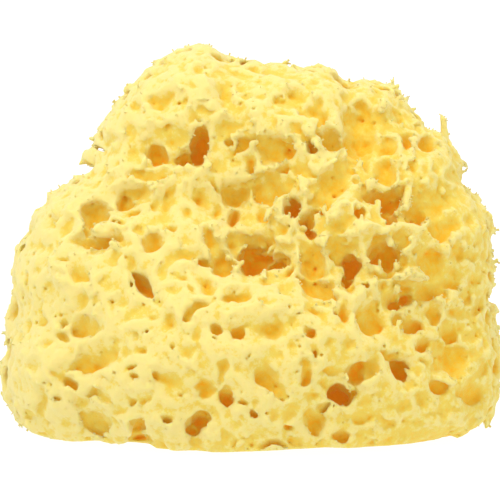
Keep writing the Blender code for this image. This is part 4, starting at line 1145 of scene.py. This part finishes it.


# Dry spongin: a matt, faintly translucent horny fibre. Light and shade are painted into its colour: a painted
# highlight, pale, where it sticks out, painted shade, golden, in the dishes, and amber where light has passed
# through many walls.
dryFibre = {
    # from the crests, painted pale as lit, to the deepest hollows, painted amber as shaded and lit through
    # the walls: where on the scale of shades, and the colour
    "colours": [
        (0.05, "#EEDC88"), (0.2, "#EDD35E"), (0.4, "#ECCC52"), (0.58, "#ECC33A"), (0.78, "#EDB926"),
        (0.98, "#EFA216"),
    ],
    # what shifts the shade: what is read, first and last value, and the shift at each
    "shifts": [
        ("crest", 0.24, 0.56, -0.2, 0.06),      # share of solid close by, least on the crests: a painted highlight there
        ("crest", 0.6, 0.85, 0.0, 0.2),      # and most inside the pores: painted shade there
        ("hollow", 0.42, 0.85, 0.05, 0.56),      # share of solid further round: painted shade in the hollows
        ("below", 0.0, 14.0, 0.0, 0.55),      # mm below the skin of the dome: painted shade deeper in
        ("blotch", 0.3, 0.7, -0.24, 0.24),
        ("height", 0.0, 0.007, 0.3, 0.0),      # m, painted shade: the foot, near the ground, is darker
        ("across", -0.06, 0.06, -0.14, 0.1),      # m, painted light: the left side is paler and the right more golden, as lit from the left
    ],
    # patches of a millimetre or two, and a felt of fibres drawn coarser than their 0.03 mm
    "blotch": {"Scale": 600.0, "Detail": 6.0, "Roughness": 0.75},
    "felt": {"Scale": 950.0, "Detail": 5.0, "Roughness": 0.75},
    "feltRelief": {"Strength": 0.7, "Distance": 0.00055},
    # the light that comes through the walls into a hollow
    "glow": "#FFB025",
    "glowing": {"From Min": 0.25, "From Max": 1.1, "To Min": 0.0, "To Max": 0.15},
    "roughness": 0.85,
    "scatterColours": (1.0, 0.75, 0.3),
    "scatterReach": 0.003,
    "sheen": 0.15,
    "specular": 0.25,
    "bodyScatter": 0.5,
    # the teeth are thinner than the light's way through the fibre, so they don't scatter
    "teethScatter": 0.0,
}


def drySponginMaterial(name, scatter):
    material = bpy.data.materials.new(name)
    material.use_nodes = True
    tree = material.node_tree
    shader = tree.nodes["Principled BSDF"]
    place = addNode(tree, "ShaderNodeTexCoord").outputs["Object"]
    parts = addNode(tree, "ShaderNodeSeparateXYZ", links={"Vector": place})
    blotch = addNode(tree, "ShaderNodeTexNoise", inputs=dryFibre["blotch"], links={"Vector": place})
    readings = {"height": parts.outputs["Z"], "across": parts.outputs["X"], "blotch": blotch.outputs["Fac"]}
    for layer in ("crest", "hollow", "below"):
        readings[layer] = addNode(tree, "ShaderNodeAttribute", dict(attribute_name=layer)).outputs["Fac"]
    # the scale of shades: painted highlight and shade from the crest, hollow, below, height and across
    # readings, added to random blotches
    shade = None
    for reading, first, last, shiftFirst, shiftLast in dryFibre["shifts"]:
        span = {"From Min": first, "From Max": last, "To Min": shiftFirst, "To Max": shiftLast}
        shift = addNode(tree, "ShaderNodeMapRange", inputs=span, links={"Value": readings[reading]})
        if shade is None:
            shade = shift.outputs["Result"]
        else:
            links = {0: shade, 1: shift.outputs["Result"]}
            shade = addNode(tree, "ShaderNodeMath", dict(operation="ADD"), links=links).outputs[0]
    ramp = addNode(tree, "ShaderNodeValToRGB", links={"Fac": shade})
    stops = ramp.color_ramp.elements
    while len(stops) < len(dryFibre["colours"]):
        stops.new(0.5)
    for stop, (position, colour) in zip(stops, dryFibre["colours"]):
        stop.position = position
        stop.color = linear(colour)
    felt = addNode(tree, "ShaderNodeTexNoise", inputs=dryFibre["felt"], links={"Vector": place})
    bump = addNode(
        tree, "ShaderNodeBump", inputs=dryFibre["feltRelief"], links={"Height": felt.outputs["Fac"]}
    )
    glow = addNode(tree, "ShaderNodeMapRange", inputs=dryFibre["glowing"], links={"Value": shade})
    tree.links.new(ramp.outputs["Color"], shader.inputs["Base Color"])
    tree.links.new(bump.outputs["Normal"], shader.inputs["Normal"])
    tree.links.new(glow.outputs["Result"], shader.inputs["Emission Strength"])
    shader.inputs["Emission Color"].default_value = linear(dryFibre["glow"])
    shader.inputs["Roughness"].default_value = dryFibre["roughness"]
    shader.inputs["Subsurface Weight"].default_value = scatter
    shader.inputs["Subsurface Radius"].default_value = dryFibre["scatterColours"]
    shader.inputs["Subsurface Scale"].default_value = dryFibre["scatterReach"]
    shader.inputs["Sheen Weight"].default_value = dryFibre["sheen"]
    shader.inputs["Specular IOR Level"].default_value = dryFibre["specular"]
    return material


# Torn ends of the fibre: flat bent teeth along the rims of the canals and on the crests.
teeth = {
    "Density": 260000.0,      # a square metre of fully ragged crest
    "Crest From": 0.42,
    "Crest To": 0.30,
    "Deepest": 5.0,      # mm below the skin
    "Shortest": 0.0010,
    "Longest": 0.0028,
    "Width": 0.0007,
    "Thinness": 0.6,
    "Lean": 0.35,
    "Lay Least": 0.3,      # how far a tooth lies down over the hollow instead of standing up
    "Lay Most": 1.1,
    "Seed": 7,
}
toothShape = {
    "corners": 5,
    "rings": 3,
    "foot": 0.3,      # how much of its length stands inside the body
    "bends": (0.1, 0.45, 0.9),
    "sizes": (0.6, 1.25),
    "fullTurn": 6.283,
}
# the sockets of a Random Value node for single values: least, most, and the value
randomLeast, randomMost, randomOut = 2, 3, 1


def toothTree():
    tree, entry = newTree("Fibre Teeth")
    for name, value in teeth.items():
        kind = "NodeSocketInt" if isinstance(value, int) else "NodeSocketFloat"
        tree.interface.new_socket(name, in_out="INPUT", socket_type=kind)
    tree.interface.new_socket("Material", in_out="INPUT", socket_type="NodeSocketMaterial")
    given = entry.outputs
    crest, ragged, below = [
        addNode(tree, "GeometryNodeInputNamedAttribute", inputs={"Name": name}).outputs["Attribute"]
        for name in ("crest", "ragged", "below")
    ]

    # where the teeth stand
    onCrest = addNode(
        tree, "ShaderNodeMapRange", inputs={"To Min": 0.0, "To Max": 1.0},
        links={"Value": crest, "From Min": given["Crest From"], "From Max": given["Crest To"]},
    )
    share = addNode(
        tree, "ShaderNodeMath", dict(operation="MULTIPLY"), links={0: onCrest.outputs["Result"], 1: ragged}
    )
    density = addNode(
        tree, "ShaderNodeMath", dict(operation="MULTIPLY"), links={0: share.outputs[0], 1: given["Density"]}
    )
    nearSkin = addNode(
        tree, "FunctionNodeCompare", dict(data_type="FLOAT", operation="LESS_THAN"),
        links={0: below, 1: given["Deepest"]},
    )
    points = addNode(
        tree, "GeometryNodeDistributePointsOnFaces", links={
            "Mesh": given["Geometry"], "Selection": nearSkin.outputs["Result"],
            "Density": density.outputs[0], "Seed": given["Seed"],
        },
    )

    # which way each one points: off the surface, laid down over its hollow, and a little astray
    outwardWay = addNode(
        tree, "GeometryNodeInputNamedAttribute", dict(data_type="FLOAT_VECTOR"), inputs={"Name": "outwardWay"}
    )
    lay = addNode(
        tree, "FunctionNodeRandomValue", dict(data_type="FLOAT"), inputs={"Seed": 1},
        links={randomLeast: given["Lay Least"], randomMost: given["Lay Most"]},
    )
    layDown = addNode(
        tree, "ShaderNodeVectorMath", dict(operation="SCALE"),
        links={0: outwardWay.outputs["Attribute"], "Scale": lay.outputs[randomOut]},
    )
    upright = addNode(
        tree, "ShaderNodeVectorMath", dict(operation="SUBTRACT"),
        links={0: points.outputs["Normal"], 1: layDown.outputs[0]},
    )
    anyWay = addNode(
        tree, "FunctionNodeRandomValue", dict(data_type="FLOAT_VECTOR"),
        inputs={0: (-1, -1, -1), 1: (1, 1, 1), "Seed": 2},
    )
    stray = addNode(
        tree, "ShaderNodeVectorMath", dict(operation="SCALE"),
        links={0: anyWay.outputs[0], "Scale": given["Lean"]},
    )
    way = addNode(
        tree, "ShaderNodeVectorMath", dict(operation="ADD"),
        links={0: upright.outputs[0], 1: stray.outputs[0]},
    )
    pointing = addNode(
        tree, "FunctionNodeAlignRotationToVector", dict(axis="Z"), links={"Vector": way.outputs[0]}
    )
    angle = addNode(
        tree, "FunctionNodeRandomValue", dict(data_type="FLOAT"),
        inputs={randomLeast: 0.0, randomMost: toothShape["fullTurn"], "Seed": 3},
    )
    spin = addNode(
        tree, "FunctionNodeAxisAngleToRotation", inputs={"Axis": (0, 0, 1)},
        links={"Angle": angle.outputs[randomOut]},
    )
    turned = addNode(
        tree, "FunctionNodeRotateRotation", dict(rotation_space="LOCAL"),
        links={"Rotation": pointing.outputs[0], "Rotate By": spin.outputs[0]},
    )

    # how large it is
    least, most = toothShape["sizes"]
    size = addNode(
        tree, "FunctionNodeRandomValue", dict(data_type="FLOAT"),
        inputs={randomLeast: least, randomMost: most, "Seed": 4},
    )
    width = addNode(
        tree, "ShaderNodeMath", dict(operation="MULTIPLY"),
        links={0: size.outputs[randomOut], 1: given["Width"]},
    )
    thickness = addNode(
        tree, "ShaderNodeMath", dict(operation="MULTIPLY"), links={0: width.outputs[0], 1: given["Thinness"]}
    )
    length = addNode(
        tree, "FunctionNodeRandomValue", dict(data_type="FLOAT"), inputs={"Seed": 5},
        links={randomLeast: given["Shortest"], randomMost: given["Longest"]},
    )
    scale = addNode(
        tree, "ShaderNodeCombineXYZ",
        links={"X": width.outputs[0], "Y": thickness.outputs[0], "Z": length.outputs[randomOut]},
    )

    # its shape: thin cones, each bent by a different amount
    shapes = addNode(tree, "GeometryNodeJoinGeometry")
    place = addNode(tree, "GeometryNodeInputPosition")
    height = addNode(tree, "ShaderNodeSeparateXYZ", links={"Vector": place.outputs[0]}).outputs["Z"]
    for bend in toothShape["bends"]:
        cone = addNode(tree, "GeometryNodeMeshCone", inputs={
            "Vertices": toothShape["corners"], "Side Segments": toothShape["rings"],
            "Radius Top": 0.0, "Radius Bottom": 0.5, "Depth": 1.0,
        })
        square = addNode(tree, "ShaderNodeMath", dict(operation="MULTIPLY"), links={0: height, 1: height})
        aside = addNode(
            tree, "ShaderNodeMath", dict(operation="MULTIPLY"), inputs={1: bend}, links={0: square.outputs[0]}
        )
        offset = addNode(
            tree, "ShaderNodeCombineXYZ", inputs={"Z": -toothShape["foot"]}, links={"X": aside.outputs[0]}
        )
        bent = addNode(
            tree, "GeometryNodeSetPosition",
            links={"Geometry": cone.outputs["Mesh"], "Offset": offset.outputs[0]},
        )
        one = addNode(tree, "GeometryNodeGeometryToInstance", links={"Geometry": bent.outputs[0]})
        tree.links.new(one.outputs[0], shapes.inputs[0])
    grown = addNode(
        tree, "GeometryNodeInstanceOnPoints", inputs={"Pick Instance": True}, links={
            "Points": points.outputs["Points"], "Instance": shapes.outputs[0],
            "Rotation": turned.outputs[0], "Scale": scale.outputs[0],
        },
    )
    real = addNode(tree, "GeometryNodeRealizeInstances", links={"Geometry": grown.outputs[0]})
    smooth = addNode(tree, "GeometryNodeSetShadeSmooth", links={"Geometry": real.outputs[0]})
    dressed = addNode(
        tree, "GeometryNodeSetMaterial", links={"Geometry": smooth.outputs[0], "Material": given["Material"]}
    )
    addNode(tree, "NodeGroupOutput", links={0: dressed.outputs[0]})
    return tree


def growTeeth(sponge, material):
    carrier = bpy.data.objects.new("teethCarrier", sponge.data)
    bpy.context.scene.collection.objects.link(carrier)
    grow = carrier.modifiers.new("teeth", "NODES")
    grow.node_group = toothTree()
    values = dict(teeth, Material=material)
    for item in grow.node_group.interface.items_tree:
        if item.in_out == "INPUT" and item.name in values:
            grow[item.identifier] = values[item.name]
    obj = bpy.data.objects.new("spongeTeeth", finishedMesh(carrier, "spongeTeeth"))
    bpy.data.objects.remove(carrier)
    bpy.context.scene.collection.objects.link(obj)
    print("teeth faces:", len(obj.data.polygons))
    return obj


# A bright table in soft light. The table is dark paint lit from within, so bright that no shadow
# shows on it and so dark that it throws little light up.
studio = {
    "floor": "#5A5A5A",
    "floorRoughness": 0.9,
    "floorBelow": 0.0002,
    "floorHalf": 3.0,
    "glow": "#FFFFFF",
    "glowStrength": 0.97,
    "sky": "#FFFFFF",
    "skySeen": 1.0,      # how bright the background is, and how bright the light that it gives
    "skyLight": 0.9,
    # place (x, y, z) in m, size in m, power in W
    "lights": [
        ("keyLight", (-0.4, -0.6, 0.9), 0.4, 3.4),
        ("fillLight", (0.7, -0.6, 0.4), 0.6, 0.3),
        ("topLight", (0.0, -0.1, 0.9), 0.5, 1.4),
    ],
    "lightsTarget": (0, 0, 0.05),
}


def makeSky():
    world = bpy.data.worlds.new("studio")
    world.use_nodes = True
    background = world.node_tree.nodes["Background"]
    background.inputs["Color"].default_value = linear(studio["sky"])
    path = addNode(world.node_tree, "ShaderNodeLightPath")
    strength = addNode(
        world.node_tree, "ShaderNodeMapRange",
        inputs={"To Min": studio["skyLight"], "To Max": studio["skySeen"]},
        links={"Value": path.outputs["Is Camera Ray"]},
    )
    world.node_tree.links.new(strength.outputs["Result"], background.inputs["Strength"])
    bpy.context.scene.world = world


def makeFloor():
    mesh = bpy.data.meshes.new("floor")
    half, low = studio["floorHalf"], -studio["floorBelow"]
    corners = [(-half, -half, low), (half, -half, low), (half, half, low), (-half, half, low)]
    mesh.from_pydata(corners, [], [(0, 1, 2, 3)])
    floor = bpy.data.objects.new("floor", mesh)
    bpy.context.scene.collection.objects.link(floor)
    paint = bpy.data.materials.new("whitePaper")
    paint.use_nodes = True
    shader = paint.node_tree.nodes["Principled BSDF"]
    shader.inputs["Base Color"].default_value = linear(studio["floor"])
    shader.inputs["Roughness"].default_value = studio["floorRoughness"]
    shader.inputs["Emission Color"].default_value = linear(studio["glow"])
    shader.inputs["Emission Strength"].default_value = studio["glowStrength"]
    mesh.materials.append(paint)


def makeLights():
    target = Vector(studio["lightsTarget"])
    for name, place, size, power in studio["lights"]:
        data = bpy.data.lights.new(name, "AREA")
        data.shape = "DISK"
        data.size = size
        data.energy = power
        light = bpy.data.objects.new(name, data)
        light.location = place
        light.rotation_euler = (target - Vector(place)).to_track_quat("-Z", "Y").to_euler()
        bpy.context.scene.collection.objects.link(light)


def makeCamera():
    data = bpy.data.cameras.new("camera")
    data.sensor_width = sight["sensor"]
    data.lens = sight["sensor"] * sight["distance"] / sight["frameWidth"]
    data.clip_start = sight["nearest"]
    camera = bpy.data.objects.new("camera", data)
    target = Vector(sight["target"]) * mm
    camera.location = target + Vector(sightAxes()[2]) * sight["distance"] * mm
    camera.rotation_euler = (target - camera.location).to_track_quat("-Z", "Y").to_euler()
    bpy.context.scene.collection.objects.link(camera)
    bpy.context.scene.camera = camera


sponge = makeBody()
sponge.data.materials.clear()
sponge.data.materials.append(drySponginMaterial("drySponginFibre", dryFibre["bodyScatter"]))
spongeTeeth = growTeeth(sponge, drySponginMaterial("drySponginTeeth", dryFibre["teethScatter"]))
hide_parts("sponge")
for piece in (sponge, spongeTeeth):
    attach(piece, "root")

makeSky()
makeFloor()
makeLights()
makeCamera()
bpy.context.scene.view_settings.view_transform = "Standard"
